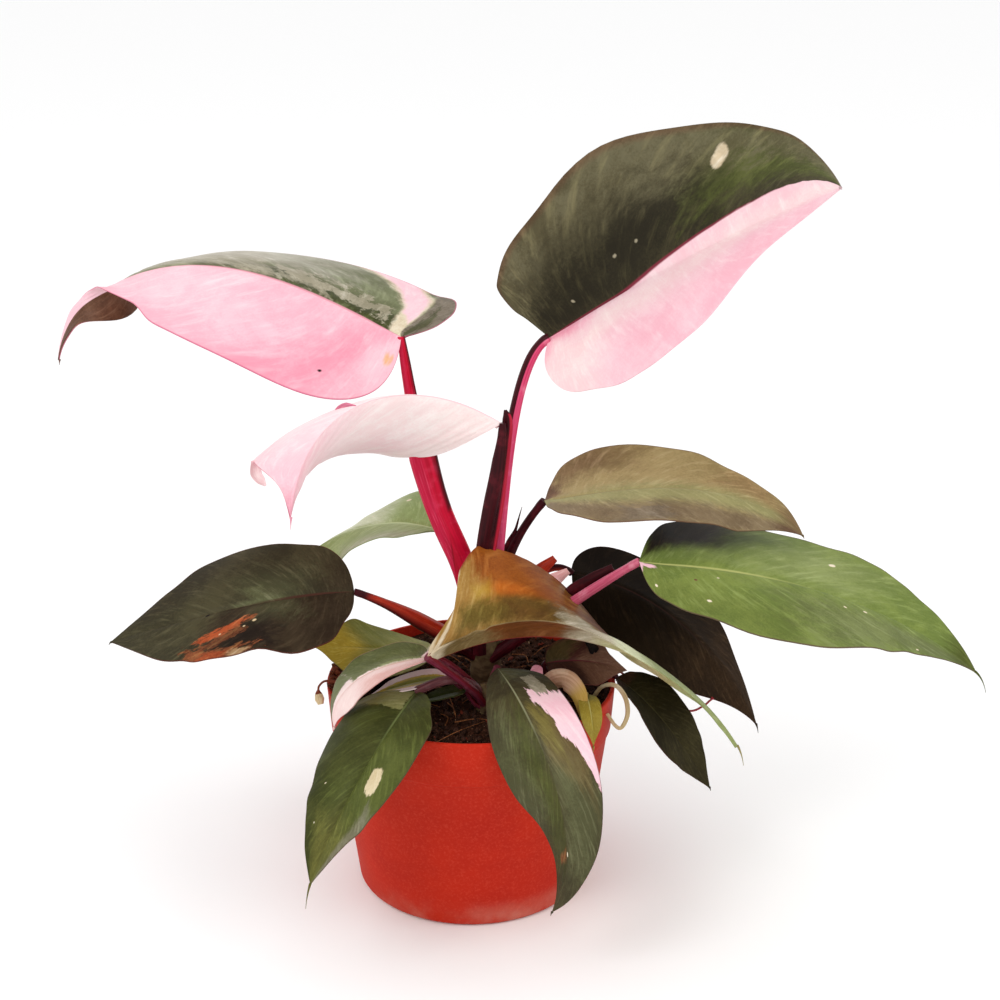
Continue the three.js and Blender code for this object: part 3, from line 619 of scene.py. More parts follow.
# Tones are (main, shade, light).
DARK = (0x45402B, 0x343020, 0x59543C)
DEEP = (0x2A2617, 0x1E1A0F, 0x39341F)
DARK_RED = (0x342A1D, 0x271D13, 0x463A2A)
MOSS = (0x555C2A, 0x464D20, 0x6B7438)
LEAF = (0x74823F, 0x637236, 0x8A9856)
GREY_LEAF = (0x6F7450, 0x5C5F3E, 0x8A8D6A)
SAGE = (0x939C68, 0x838C56, 0xABB182)
# The next tone is a painted highlight: the whitish sheen where the bronze centre leaf turns edge-on.
PALE_GREEN_SHEEN = (0xC8CAA8, 0xB4B890, 0xDEDFC8)
OLIVE = (0x7E7638, 0x686030, 0x98904A)
SUNNY = (0xC2A63A, 0xAA902E, 0xD6BE5C)
BRONZE = (0x9E8B5E, 0x8B784E, 0xB3A074)
BRASS = (0x93905F, 0x828052, 0xA5A272)
TAUPE = (0x74634A, 0x604F3A, 0x88785E)
BROWN = (0x6A4834, 0x523424, 0x82604A)
GOLD = (0xA88446, 0x946E34, 0xC09E66)
AMBER = (0x944E14, 0x7C3C0E, 0xAE6A2C)
CHESTNUT = (0x58322A, 0x43221B, 0x74483A)
DROSS = (0x64541E, 0x524416, 0x7E6E2C)
LOAM = (0x7A6642, 0x665230, 0x8E7A54)
PINK = (0xF0B7C3, 0xEBA7B6, 0xF5C8D0)
ROSE = (0xEC92A6, 0xE5839A, 0xF1A8B7)
BLUSH = (0xEFC8CF, 0xECBAC5, 0xF5D7DA)
SHELL = (0xF1DAD5, 0xEECECC, 0xF6E5E0)
IVORY = (0xFBEEEB, 0xF8E0DF, 0xFDF6F3)
PEACH = (0xE0B6AF, 0xD8A69E, 0xE8CAC4)
CREAM = (0xE4D6BC, 0xD2BF9E, 0xF0E8D4)
MARBLE = (0xB4AA94, 0x928A72, 0xD2C9B6)
ASH = (0x7C7060, 0x5A5042, 0x9C9284)
SCORCH = (0xA84E2A, 0x7A3018, 0xC87A4C)
RUST = (0x8A5030, 0x5E301C, 0xA87848)
STRAW = (0xD8C29A, 0xB99B6E, 0xF0E4C8)
SPOT_YELLOW = (0xE0A85C, 0xD49440, 0xECC084)
BLACK = (0x1A1210, 0x120C0A, 0x2A1E18)
OUTER = (0x68634A, 0x565038, 0x827B58)
NIGHT = (0x1E150C, 0x160E07, 0x2A1E13)
UMBER_NIGHT = (0x3A2A1C, 0x2A1E14, 0x4E3C2A)
FOREST = (0x40431E, 0x323515, 0x545A2C)
UMBER = (0x464029, 0x373120, 0x5B563A)

# The upper side of each blade: the tones of its halves, and areas and flecks laid over them in turn.
UPPER = dict(
    tall_right=dict(left=DARK, right=BLUSH, rib=0x7A2B3A, rib_width=0.6, specular=0.1, areas=[
        (DEEP, 3, 66, -50, 0, 6, 6, 85), (MOSS, 60, 110, -110, -25, 25, 8, 75),
        (OUTER, 5, 110, -110, -60, 30, 8, 85), (DEEP, 22, 40, -75, -35, 25, 5, 50),
        (BROWN, -10, 110, -110, -95.5, 2, 1.2, 50), (PINK, -10, 28, 0, 30, 5, 5, 90),
        (ROSE, -10, 12, 0, 110, 4, 3, 50), (ROSE, 5, 20, 0, 26, 5, 5, 60), (SHELL, 30, 110, 8, 40, 10, 6, 60),
        (SHELL, 10, 34, 30, 110, 15, 7, 70), (PINK, 40, 92, 50, 110, 20, 8, 60),
        oval(CREAM, 62.2, 64.8, -79, -60, 1.2, 0.3, 80), oval(CREAM, 61.5, 64, -70, -56, 1.2, 0.3, 80),
        fleck(MARBLE, 25.5, -20, 0.5), fleck(MARBLE, 41, -27, 0.4), fleck(MARBLE, 46, -25, 0.3),
    ]),
    tall_left=dict(left=PINK, right=GREY_LEAF, rib=0xD8909E, rib_width=0.5, edge=0xC86080, specular=0.1,
        areas=[
        (ROSE, 9, 22, -110, -12, 12, 6, 65, -24), (ROSE, 7, 16, -30, 0, 6, 4, 50),
        (BLUSH, 50, 86, -75, 0, 20, 10, 80), (BLUSH, 2, 20, -75, -30, 20, 6, 50),
        (PINK, 72, 88, -110, -60, 10, 5, 80), (BROWN, 87, 110, -110, 10, 6, 2, 80),
        (FOREST, 10, 66, 0, 30, 12, 2), (MARBLE, 50, 90, 5, 110, 14, 5, 70),
        (MARBLE, 14, 40, 14, 32, 24, 1.5, 80, 30),
        ((0xC8C0B4, 0xB0A698, 0xDCD6CC), 40, 95, 35, 110, 25, 8, 55),
        (MARBLE, 34, 60, 5, 20, 20, 1.5, 60, 20), (CREAM, 0, 10, 0, 110, 5, 1.5, 90, 30),
        (BLUSH, 1.5, 9, 40, 110, 3, 1.2, 100, 30), (ASH, -40, 1, 20, 110, 5, 1, 100, 28),
        (FOREST, -10, -1, 30, 80, 12, 1.5, 80, 26), oval(SPOT_YELLOW, 10.5, 13.5, -72, -50, 2, 1, 70),
        oval(SPOT_YELLOW, 8, 11.5, -80, -62, 2, 1, 60), fleck(BLACK, 31, -72, 0.3),
    ]),
    young_pale=dict(left=IVORY, right=IVORY, rib=0xF2CCD2, rib_width=0.4, edge=0xB0365C, width=64,
        specular=0.08, areas=[
        (BLUSH, 62, 110, -110, 110, 5, 12, 60), (PINK, 84, 110, -110, 110, 5, 10, 60),
        ((0xDE94A4, 0xC87C90, 0xEEB4C0), 95, 110, -110, 110, 3, 4, 80),
        (BLUSH, 30, 90, -110, -60, 10, 10, 60), (SHELL, 2, 30, -90, 90, 30, 8, 40),
    ]),
    back_left=dict(left=SAGE, right=SAGE, rib=0xB7C092, rib_width=0.6, edge=0x7E8A5A, width=47, specular=0.1,
        areas=[
        ((0x8EA05E, 0x7E9050, 0xA6B67A), 15, 50, 3, 110, 20, 8, 70),
        ((0xD6D8BA, 0xC2C6A0, 0xE8E9D6), 52, 110, 5, 110, 12, 8, 85), (MARBLE, 25, 66, -110, -60, 20, 8, 60),
        fleck(CREAM, 46, 66, 0.8), fleck(CREAM, 58, 52, 0.6), fleck(CREAM, 40, 75, 0.6),
    ]),
    left_dark=dict(left=DARK_RED, right=DARK, rib=0x432920, rib_end=0.62, rib_width=0.7, edge=0x5A2A20,
        width=57, specular=0.06, areas=[
        (DARK_RED, -10, 26, 0, 110, 15, 8, 85), (DARK, 66, 110, -110, 10, 20, 6),
        (DARK_RED, 20, 90, 55, 110, 30, 12, 50), (BLACK, 44, 58, -85, -20, 25, 2, 60),
        (RUST, 49, 69, -110, -80, 20, 1.2), (SCORCH, 55, 62, -110, -86, 12, 1, 80),
        (STRAW, 49.5, 53, -100, -86, 7, 0.8, 50), oval(SCORCH, 43, 50.2, -64, -24, 12, 1, 100, -30),
        # The faint GREY_LEAF area at 38 to 52, across the midrib, is a painted sheen.
        oval(RUST, 43, 50, -80, -40, 16, 1, 60, -20), (GREY_LEAF, 38, 52, -30, 35, 20, 8, 25),
        fleck(STRAW, 50.5, -34, 0.6), fleck(STRAW, 53, -42, 0.4), fleck(STRAW, 60, -50, 0.4),
        fleck(BLACK, 69, -3, 0.7), (GREY_LEAF, 46, 52, 4, 26, 6, 2, 35, 10),
        (GREY_LEAF, 42, 60, 0, 5, 3, 2, 50),
    ]),
    right_bronze=dict(left=BRONZE, right=BRONZE, rib=0x8E8458, rib_width=0.5, edge=0x6A4A3A, width=53,
        specular=0.1, areas=[
        (BRASS, 5, 95, -12, 50, 20, 8, 85), (TAUPE, 5, 110, 45, 110, 20, 8, 90),
        (BROWN, -10, 19, -110, -25, 10, 4, 90), (BROWN, 20, 46, -110, -60, 15, 8, 65),
        (BRONZE, 13, 30, -35, 0, 15, 5, 50), (RUST, 70, 88, -100, -40, 20, 6, 30),
        (BROWN, 92, 110, -110, 110, 10, 4, 60), (BRASS, -10, 10, -20, 110, 2, 3, 80),
        (ASH, 44, 54, 60, 95, 15, 2, 50),
    ]),
    right_green=dict(left=LEAF, right=LEAF, rib=0xA9AD68, rib_end=0.66, rib_width=0.7, edge=0x5A3E3C,
        width=66, specular=0.05, areas=[
        # The first area, dark brown by the base of the left half, is a painted shadow of the leaf that hangs
        # above it.
        ((0x2E2010, 0x201608, 0x40301A), 0, 32, -110, -42, 8, 6, 100, -10),
        (GREY_LEAF, 50, 98, 25, 100, 30, 10, 60), (MOSS, 15, 50, 50, 110, 30, 8, 35),
        (SAGE, 45, 70, -80, -10, 30, 10, 45), (MOSS, 93, 110, -110, 110, 10, 4),
        (BLUSH, -10, 5, 5, 110, 3, 1), oval(BLUSH, 0, 13, 8, 32, 3, 0.8), fleck(CREAM, 58.5, -60, 0.8),
        fleck(CREAM, 35, 22, 0.3), fleck(CREAM, 64, 30, 0.4), fleck(CREAM, 70, 25, 0.4),
        fleck(CREAM, 16.5, 80, 0.8), fleck(CREAM, 33, 70, 0.4), fleck(CREAM, 80, 87, 0.5),
        fleck(BROWN, 29, 35, 0.5),
    ]),
    right_low=dict(left=NIGHT, right=NIGHT, rib=0x2E1A14, rib_width=0.6, edge=0x4A1E1C, width=58,
        roughness=0.55, specular=0.02, areas=[
        (UMBER_NIGHT, 62, 110, -110, 110, 30, 14, 90),
    ]),
    centre_bronze=dict(left=GOLD, right=LOAM, rib=0x6E4A2E, rib_width=0.4, width=77, specular=0.1, areas=[
        ((0x8A3A2C, 0x74281E, 0xA05040), 10, 70, -110, -96.5, 2, 1, 80), (MARBLE, 50, 60, 0, 110, 8, 3, 80),
        (AMBER, 36, 56, -110, -25, 14, 6, 95, 4), (CHESTNUT, 53, 66, -110, -42, 8, 4, 90),
        (DROSS, 20, 58, -42, -10, 10, 4, 90, -5), (SUNNY, 30, 38, -60, -46, 5, 3, 40),
        oval((0xB86018, 0xA45212, 0xCC7A30), 38.5, 46, -56, -42, 3, 2, 80),
        ((0x5A3A14, 0x482C10, 0x704C24), 40, 52, -36, -8, 10, 4, 80), (CREAM, 3, 8.5, -110, 0, 5, 2, 90, -14),
        # The MARBLE area at 52 to 66 on the left half, beside the midrib, is a painted highlight, a white
        # sheen.
        (MARBLE, 52, 66, -42, -6, 12, 2, 85), (CREAM, -10, 6, -110, 110, 3, 2, 80),
        # The pale area at 58.5 to 70 is a painted highlight, a whitish sheen where the blade turns edge-on.
        (PALE_GREEN_SHEEN, 58.5, 70, 0, 110, 5, 2), (SAGE, 66, 110, 0, 110, 10, 4),
        (SAGE, 66, 110, -110, 0, 5, 3, 90),
    ]),
    right_small=dict(left=(0x2C2613, 0x201B0C, 0x3A3420), right=(0x2C2613, 0x201B0C, 0x3A3420), rib=0x3F3A24,
        rib_width=0.4, edge=0x4A3428, width=30, roughness=0.55, specular=0.03, areas=[
        (UMBER, 62, 110, -110, 110, 20, 12, 50), (CHESTNUT, -10, 20, -110, 110, 10, 6, 40),
    ]),
    left_arched=dict(left=PEACH, right=SHELL, rib=0xD8B0A0, rib_width=0.4, edge=0xC08A80, width=32,
        specular=0.1, areas=[
        (SHELL, 62, 110, -110, 0, 15, 8, 90), (SHELL, 5, 60, -35, 0, 10, 5, 60),
        (GREY_LEAF, 16, 70, 6, 110, 7, 1.2, 100, -3), (GREY_LEAF, 66, 100, 32, 110, 10, 2),
        (MOSS, 22, 66, 30, 110, 10, 5, 60), (SAGE, 10, 50, 0, 16, 5, 1, 50),
    ]),
    left_yellow=dict(left=(0x8C8640, 0x787434, 0xA8A256), right=(0x8C8640, 0x787434, 0xA8A256), rib=0x8E8848,
        rib_width=0.5, edge=0x7A6A3A, width=38, specular=0.08, areas=[
        (GREY_LEAF, -10, 30, -110, 40, 20, 10, 50),
        ((0xD0B040, 0xB89A34, 0xE0C860), 66, 110, -110, 110, 12, 8, 80, 5),
        (LEAF, 20, 60, -60, 90, 30, 8, 30), (CREAM, -10, 15, -110, 110, 5, 2, 80),
    ]),
    front_left=dict(left=MOSS, right=FOREST, rib=0x6A7444, rib_end=0.6, rib_width=0.45, edge=0x4E3E2E,
        width=44, specular=0.08, areas=[
        (FOREST, -10, 40, -110, 0, 15, 12), (MOSS, 60, 110, 0, 60, 20, 10, 60),
        (OLIVE, 78, 110, -90, 60, 20, 10, 40),
        ((0x868453, 0x727142, 0xA0A070), -10, 28, 4, 110, 6, 0.6, 100, -5),
        (OLIVE, 8, 26, 45, 110, 10, 3, 60), oval((0xD8C8A4, 0xC6B48C, 0xE6DABC), 53, 63, -66, -30, 5, 0.5),
        # The grey area at 64 to 97 along the left margin is a painted reflection, a grey sheen.
        ((0x8A8474, 0x766F5E, 0x9E9888), 64, 97, -110, -74, 10, 4, 60), fleck(CREAM, 62, 66, 0.4),
        fleck(CREAM, 80, 70, 0.3),
    ]),
    front_right=dict(left=UMBER, right=UMBER, rib=0x8A8A6A, rib_end=0.6, rib_width=0.45, edge=0x4A3A30,
        width=42, specular=0.08, areas=[
        (GREY_LEAF, 50, 85, -100, -10, 30, 12, 45), (MOSS, 40, 70, 5, 50, 35, 12, 60),
        (GREY_LEAF, 35, 62, 50, 110, 20, 8, 40), (FOREST, 66, 90, 0, 90, 20, 8, 50),
        (DARK, 2, 27, -110, -45, 6, 2), (GREY_LEAF, 4, 20, -80, 20, 20, 6, 50),
        (MARBLE, 23, 34, -74, -40, 10, 0.6, 70),
        ((0x806238, 0x6C502C, 0x957648), 38, 56, -85, -10, 15, 4, 30), (OLIVE, 38, 50, -40, -10, 15, 4, 50),
        (BLUSH, 32.5, 44, -110, -50, 6, 0.4), (BLUSH, 23.5, 30.5, -110, -27, 7, 0.4, 100, -20),
        fleck(CREAM, 82.5, -2, 0.6), (RUST, 81, 84, 5, 45, 3, 1, 70),
    ]),
    tiny_cream=dict(left=SHELL, right=SHELL, rib=0xA8A860, rib_width=0.3, width=13, areas=[
        (SUNNY, 12, 110, -60, 50, 10, 2), (LEAF, 20, 80, -35, 30, 12, 3, 80),
    ]),
    tiny_shaded=dict(left=FOREST, right=FOREST, rib=0x4A4A28, rib_width=0.3, width=10, specular=0.04),
    tiny_olive=dict(left=OLIVE, right=OLIVE, rib=0xC0B870, rib_width=0.3, edge=0xB8A060, width=10, areas=[
        (SUNNY, 30, 100, -110, 110, 30, 8, 60),
    ]),
    folded_maroon=dict(left=CHESTNUT, right=(0x4A2C20, 0x38201A, 0x5E3C2E), rib=0x6A2A30, rib_width=0.4,
        edge=0x7A3A38, width=21, areas=[
        ((0x7E5A46, 0x684636, 0x94705A), 50, 110, -110, 110, 12, 6, 90), (MOSS, 0, 40, -90, 0, 20, 5, 45),
    ]),
)
# The undersides that the blades share.
UNDER = dict(
    dark=dict(left=DARK_RED, right=DARK_RED, rib=0x6B2A30, rib_width=2),
    green=dict(left=SAGE, right=SAGE, rib=0xA8B488, rib_width=2),
    pink=dict(left=BLUSH, right=BROWN, rib=0xE0708C, rib_width=2),
    pale=dict(left=SHELL, right=SHELL, rib=0xF0B8C0, rib_width=2, edge=0xB0365C),
    wine=dict(left=DARK_RED, right=BLUSH, rib=0x8A2438, rib_width=2),
    loam=dict(left=LOAM, right=LOAM, rib=0x7A2626, rib_end=0.7, rib_width=1.2, specular=0.08, areas=[
        (CREAM, -10, 10, -110, 110, 5, 3, 70), ((0x6D3917, 0x582C10, 0x86502A), 34, 56, -110, 110, 10, 6, 90),
        (MARBLE, 54, 64, -110, 110, 8, 3, 80), (SAGE, 62, 110, -110, 110, 6, 4),
        (STRAW, 62, 80, -110, 110, 20, 8, 50),
    ]),
)
# Each blade's slot in the record, and its underside.
SLOTS = dict(
    tall_right="dark wine", tall_left="pink pink", young_pale="pale pale", back_left="green green",
    left_dark="dark dark", right_bronze="bronze dark", right_green="green green", right_low="dark dark",
    centre_bronze="bronze loam", right_small="dark dark", left_arched="pink pink", left_yellow="olive green",
    front_left="green green", front_right="dark green", tiny_cream="olive green", tiny_shaded="green green",
    tiny_olive="olive green", folded_maroon="maroon dark",
)
undersides = {name: leaf_look(f"leaf_under_{name}", **spec) for name, spec in UNDER.items()}
for name, words in SLOTS.items():
    slot, under = words.split()
    upper = leaf_look(f"{name}_upper", veins=LEAVES[name]["veins"], **UPPER[name])
    make_blade(name, [upper, undersides[under]], f"leaf_{slot}")

# ---------- skins of stalks, scales and scraps ----------
MAROON = (0x3E0A12, 0x2A060C, 0x661A24)
WINE = (0x6E1420, 0x540E18, 0x8E2A38)
# The next tone is partly the stalks' own red and partly a painted highlight.
RUST_RED_AND_HIGHLIGHT = (0xB02C14, 0x8A1E0E, 0xCC5A34)
BARE = dict(roughness=0.7, coat=0)
SKINS = dict(
    petiole_crimson=((0xCE0A34, 0xB40628, 0xDE3C5E), dict(coat=0.03, areas=[
        ((0xCC2048, 0xB81038, 0xE66482), 176, 280, 76, 110, 4, 2, 80, -168.5),
        ((0xA80828, 0x94061E, 0xC01838), 173.5, 176.5, 76, 97, 1, 1, 100, -168.5),
        (MAROON, 62, 110, 30, 64, 3, 2, 95),
    ])),
    petiole_rose=((0xDB5078, 0xC8305C, 0xEF94AC), dict(coat=0.03, areas=[
        (MAROON, 42, 110, 78.5, 120, 2), (MAROON, -10, 110, -20, 30, 2),
    ])),
    petiole_blotched=((0xD06680, 0xBA4866, 0xE8A2B2), dict(coat=0.03, areas=[
        (MAROON, -10, 50, -10, 110, 3), (WINE, 40, 110, 10, 55, 3, 0.6, 70),
    ])),
    petiole_maroon=(MAROON, dict(coat=0.02)),
    # The red-orange band is partly the stalk's own red and partly a painted highlight; on the left dark
    # leaf's stalk it runs along the upper side.
    petiole_rust=(MAROON, dict(coat=0.02, areas=[(RUST_RED_AND_HIGHLIGHT, 20, 88, 38, 74, 4, 5)])),
    petiole_dusky=((0x74283A, 0x541A28, 0x9A5462), dict(areas=[(WINE, -10, 110, 40, 70, 10)])),
    petiole_ashen=((0x7A4A4C, 0x542A2E, 0xA88A88), dict(around=20)),
    petiole_sap=((0x7E6E34, 0x685A28, 0x9A8C4A), {}),
    stem_skin=((0x5E4A34, 0x44301F, 0x8A7A52), dict(along=12, around=6, roughness=0.6, coat=0)),
    dried_straw=(STRAW, BARE),
    dried_twig_skin=((0x8A4630, 0x6A3022, 0xB07050), dict(BARE, areas=[(STRAW, 74, 110, -10, 110, 6)])),
    papery_tan=((0xDDB494, 0xC29274, 0xF2DCC2), dict(along=2, around=20, roughness=0.6, coat=0, areas=[
        ((0xC8A050, 0xB08838, 0xDCC080), 70, 110, -10, 110, 10, 8),
    ])),
    bud_skin=((0xF0A8B8, 0xE48AA0, 0xF9CFD6), {}),
    sheath_ember=((0xB83418, 0x8E2010, 0xDC5C38), {}),
    sheath_blanched=((0xF2C4C0, 0xE49C9C, 0xFBE8E4), {}),
    pale_flap_skin=((0xF1D0D1, 0xE2AEB6, 0xFBECEA), {}),
    young_hood_skin=(MAROON, dict(coat=0.02, areas=[
        ((0xB01C34, 0x901428, 0xD04058), -10, 90, 78, 110, 6, 2),
    ])),
    rose_fold_skin=((0xE08098, 0xB4607A, 0xF4B4C2), {}),
    dead_scrap_skin=((0x1C1310, 0x0F0A08, 0x3E2E24), dict(roughness=0.8, coat=0)),
    root_skin=((0xA02C34, 0x781E26, 0xC8606A), {}),
)
skins = {name: skin_look(name, *tones, **spec) for name, (tones, spec) in SKINS.items()}


def spread(values, steps):
    """The values, evenly spread along a line of so many steps."""
    return np.interp(np.linspace(0, 1, steps), np.linspace(0, 1, len(values)), values)


# ---------- petioles ----------
# Each one's skin, its radii, and the points from the stem past two bend points towards its blade.
PETIOLES = dict(
    tall_right=("rose", (3, 3, 2.8, 2.6, 2.4, 2.3, 1.8), (7.7, 3, 106), (13, 3, 160.2), (15.1, 5, 227.5)),
    tall_left=("crimson", (4, 4.8, 5.2, 5.4, 5.4, 5.4, 5.4, 5.7, 6.2, 2.8, 1.4), (2.4, 4, 104),
        (-2, 5, 165.9), (-12.6, 9, 125.8)),
    young_pale=("maroon", (3.2, 3.2, 3.1, 3.2, 2.9, 1.2), (3.9, -2, 102), (1.1, -3, 154.1),
        (12.8, -8, 177.8)),
    back_left=("maroon", (2.2, 1.8, 1.5), (4, 6, 104), (2, 13, 120), (-4, 19, 135)),
    left_dark=("rust", (3.6, 3.8, 3.3, 2, 1.3), (2, 2, 100), (-14, -1, 112), (-30, -3, 124)),
    right_bronze=("maroon", (2.8, 2.5, 2.3, 1.8, 1.6), (8, 5, 106), (10, 10, 130), (17, 11, 148)),
    right_green=("blotched", (3, 2.7, 2.4, 2, 1.5), (8, 0, 99), (25, -3, 113), (48, -12, 135)),
    right_low=("rust", (2.8, 2.6, 1.6, 1.4), (8, 5, 103), (17, 9, 122), (31, 15, 141)),
    centre_bronze=("dusky", (2, 1.8, 1.8), (6, -22, 88), (2, -27, 98), (-6, -36, 108)),
    right_small=("maroon", (1.6, 1.3, 1.2), (35, -4, 91), (43, -2, 99), (54, 0, 99)),
    left_arched=("dusky", (1.6, 1.4, 1.2), (5, -20, 93), (-2, -19, 99), (-9, -21, 109)),
    left_yellow=("maroon", (1.8, 1.5, 1.3), (4, 4, 96), (-3, 9, 98), (-9, 13, 98)),
    front_left=("ashen", (1.8, 1.6, 2, 1.8), (5, -22, 93), (-2, -26, 105), (-12, -32, 105)),
    front_right=("dusky", (1.8, 1.6, 1.4), (7, -22, 90), (8, -23, 97), (9, -23, 102)),
    tiny_cream=("dusky", (1.2, 1, 0.9), (5, -21, 89), (-1, -21, 92), (-5, -23, 98)),
    tiny_shaded=("dusky", (1.1, 1, 0.9), (6, -22, 87), (2, -24, 88), (0, -24, 92)),
    tiny_olive=("sap", (1.2, 1, 0.9), (35, -7, 90), (37, -14, 94), (43, -22, 97)),
    folded_maroon=("maroon", (1.6, 1.3, 1.1), (33, -5, 92), (31, -5, 95), (29, -5, 98)),
)
FLATTENED = dict(tall_left=0.5, young_pale=0.8)  # depth of a stalk as a share of its width
# The slot of each skin that isn't named after its slot.
SKIN_SLOTS = dict(rust="maroon", dusky="rose", blotched="rose", ashen="rose", sap="rose")


def channel(t, angle):
    """A shallow groove along the upper side of a petiole, which faces the stem."""
    return 1 - 0.14 * np.exp(-(((angle - 0.5) / 0.07) ** 2)) * np.minimum(1, 6 * (1 - t))


for name, (skin, radii, *path) in PETIOLES.items():
    t = np.linspace(0, 1, 64)
    line = bezier(*np.array([*path, LEAVES[name]["base"]], float), t[:, None])
    radius = spread(radii, 64)
    radius *= 1 + 0.12 * np.exp(-(((t - 0.97) / 0.03) ** 2)) + 0.02 * ripple(len(name), 2 * t)
    form = Form()
    tube(form, line, radius, 28, FLATTENED.get(name, 1), shape=channel)
    slot = SKIN_SLOTS.get(skin, skin)
    form.piece(f"{name}_stalk", [skins[f"petiole_{skin}"]], f"petiole_{slot}", f"petiole_{name}")

# ---------- stems ----------
STEMS = dict(main=((6, 3), 112, 6.5), front=((6, -21), 97, 3.8), right=((34, -5), 94, 3.2))
for name, (at, top, radius) in STEMS.items():
    share = np.linspace(0, 1, 40)
    line = np.stack([np.full(40, at[0]), np.full(40, at[1]), np.linspace(SOIL_TOP - 14, top, 40)], -1)
    swell = np.interp(share, (0, 0.55, 0.62, 0.85, 0.97, 1), (0.85, 1, 0.93, 1, 0.78, 0.5))

    def knobs(t, angle, seed=len(name)):
        return 1 + 0.05 * ripple(seed, 2 * np.cos(TURN * angle), 2 * np.sin(TURN * angle), 5 * t)

    form = Form()
    tube(form, line, radius * swell, 32, shape=knobs)
    form.piece(f"{name}_stem", [skins["stem_skin"]], "stem", f"stem_{name}")


# ---------- pot ----------
def pot_look():
    look = Look("pot_plastic", 0.6, 0.07)
    grain = look.noise(look.place, 900, 4, 0.7)
    cloud = look.noise(look.place, 30, 4, 0.6)
    height = look.split(look.place)[2]
    color = look.mix(look.step(cloud, 0.3, 0.75), 0xB82814, 0xA92214)
    color = look.mix(look.step(grain, 0.45, 0.7, 0.4), color, 0xC84632)
    dust = look.times(look.step(height, 0.014, 0.0), look.step(cloud, 0.35, 0.7))
    color = look.mix(look.times(dust, 0.5), color, 0xD9A08C)
    return look.done(color, look.plus(grain, cloud), 0.12, 0.3)


def make_pot():
    def wall(*heights):
        return [(FOOT_RADIUS + WALL_FLARE * z / COLLAR_Z, z) for z in heights]

    profile = [(0, 0), (30, 0), (45.5, 0), (46.8, 0.25), (47.7, 1), *wall(2, 20, 40, 55, 69.4)]
    profile += [(57.6, 69.9), (58.2, 70.4), (58.5, 71), (59.2, 80), (59.85, 88.4), (59.95, 89.2)]
    profile += [(59.75, 89.8), (59.3, 90), (58.9, 90), (58.5, 89.8), (58.4, 89.2), (57.4, 80), (56.4, 70)]
    profile += [(radius - WALL, z) for radius, z in wall(66, 50, 30, 10, FLOOR + 1)]
    profile += [(45.8, FLOOR), (30, FLOOR), (0, FLOOR)]
    sides = 160
    radius, height = (np.array(p)[:, None] for p in zip(*profile))
    angle = np.linspace(0, TURN, sides + 1)
    ring = np.stack([radius * np.cos(angle), radius * np.sin(angle), height + 0 * angle], -1)
    ring[:, -1] = ring[:, 0]
    t, around = np.meshgrid(np.linspace(0, 1, len(profile)), np.linspace(0, 1, sides + 1), indexing="ij")
    form = Form()
    form.grid(ring, np.stack([around, t], -1))
    pot = form.piece("nursery_pot", [pot_look()], "pot", "pot", sharp=40)
    cutter = bpy.data.meshes.new("drain_cutters")
    edit = bmesh.new()
    for i in range(DRAINS):
        turn = TURN * (i + 0.5) / DRAINS
        size = DRAIN_RADIUS * MM
        made = bmesh.ops.create_cone(edit, cap_ends=True, segments=32, radius1=size, radius2=size, depth=0.02)
        out = DRAIN_RING * MM
        bmesh.ops.translate(edit, verts=made["verts"], vec=(out * math.cos(turn), out * math.sin(turn), 0))
    edit.to_mesh(cutter)
    edit.free()
    drains = add("drains", cutter)
    cut = pot.modifiers.new("drains", "BOOLEAN")
    cut.object = drains
    cut.solver = "EXACT"
    bpy.context.view_layer.update()
    whole = bpy.data.meshes.new_from_object(pot.evaluated_get(bpy.context.evaluated_depsgraph_get()))
    pot.modifiers.clear()
    pot.data = whole
    bpy.data.objects.remove(drains)


make_pot()


# ---------- peat ----------
def soil_height(x, y):
    waves = np.sin(0.21 * x + 0.6) * np.cos(0.17 * y) + 0.6 * np.sin(0.37 * y + 0.29 * x + 1.1)
    return SOIL_TOP + 0.8 * waves


def peat_look():
    look = Look("peat", 0.95, 0.08)
    crumb = look.noise(look.place, 700, 5, 0.7)
    cloud = look.noise(look.place, 90, 4, 0.65)
    fleck = look.noise(look.place, 1600, 2, 0.5)
    color = look.mix(look.step(cloud, 0.3, 0.7), 0x24110A, 0x3A2116)
    color = look.mix(look.step(crumb, 0.45, 0.75), color, 0x5A3626)
    color = look.mix(look.step(fleck, 0.66, 0.74), color, 0x9A7658)
    return look.done(color, look.plus(crumb, cloud), 0.8, 1.2)


def rough(x, y):
    """Height of the crumbs that the peat's surface is made of."""
    total = np.zeros_like(x)
    for scale, size in ((0.09, 1.3), (0.25, 0.9), (0.6, 0.6)):
        total += size * np.array(
            [noise.noise(Vector((a * scale, b * scale, size))) for a, b in zip(x.ravel(), y.ravel())]
        ).reshape(x.shape)
    return total


def make_peat():
    rings, sectors = 90, 200
    share, angle = np.meshgrid(np.linspace(0, 1, rings), np.linspace(0, TURN, sectors + 1), indexing="ij")
    x, y = SOIL_EDGE * share * np.cos(angle), SOIL_EDGE * share * np.sin(angle)
    z = soil_height(x, y) + rough(x, y) * np.minimum(1, 12 * (1 - share)) - 0.2
    top = np.stack([x, y, z], -1)
    top[:, -1] = top[:, 0]
    low = [top[-1] * (1, 1, 0) + (0, 0, 84)]
    for radius, height in ((55.7, 70), (46.3, 2.7), (0.01, 2.7)):
        low.append(top[-1] * (radius / SOIL_EDGE, radius / SOIL_EDGE, 0) + (0, 0, height))
    body = np.concatenate([top, np.stack(low)])
    form = Form()
    form.grid(body, body[..., :2] / 120 + 0.5)
    form.piece("peat_bed", [peat_look()], "soil", "soil", sharp=180)


make_peat()


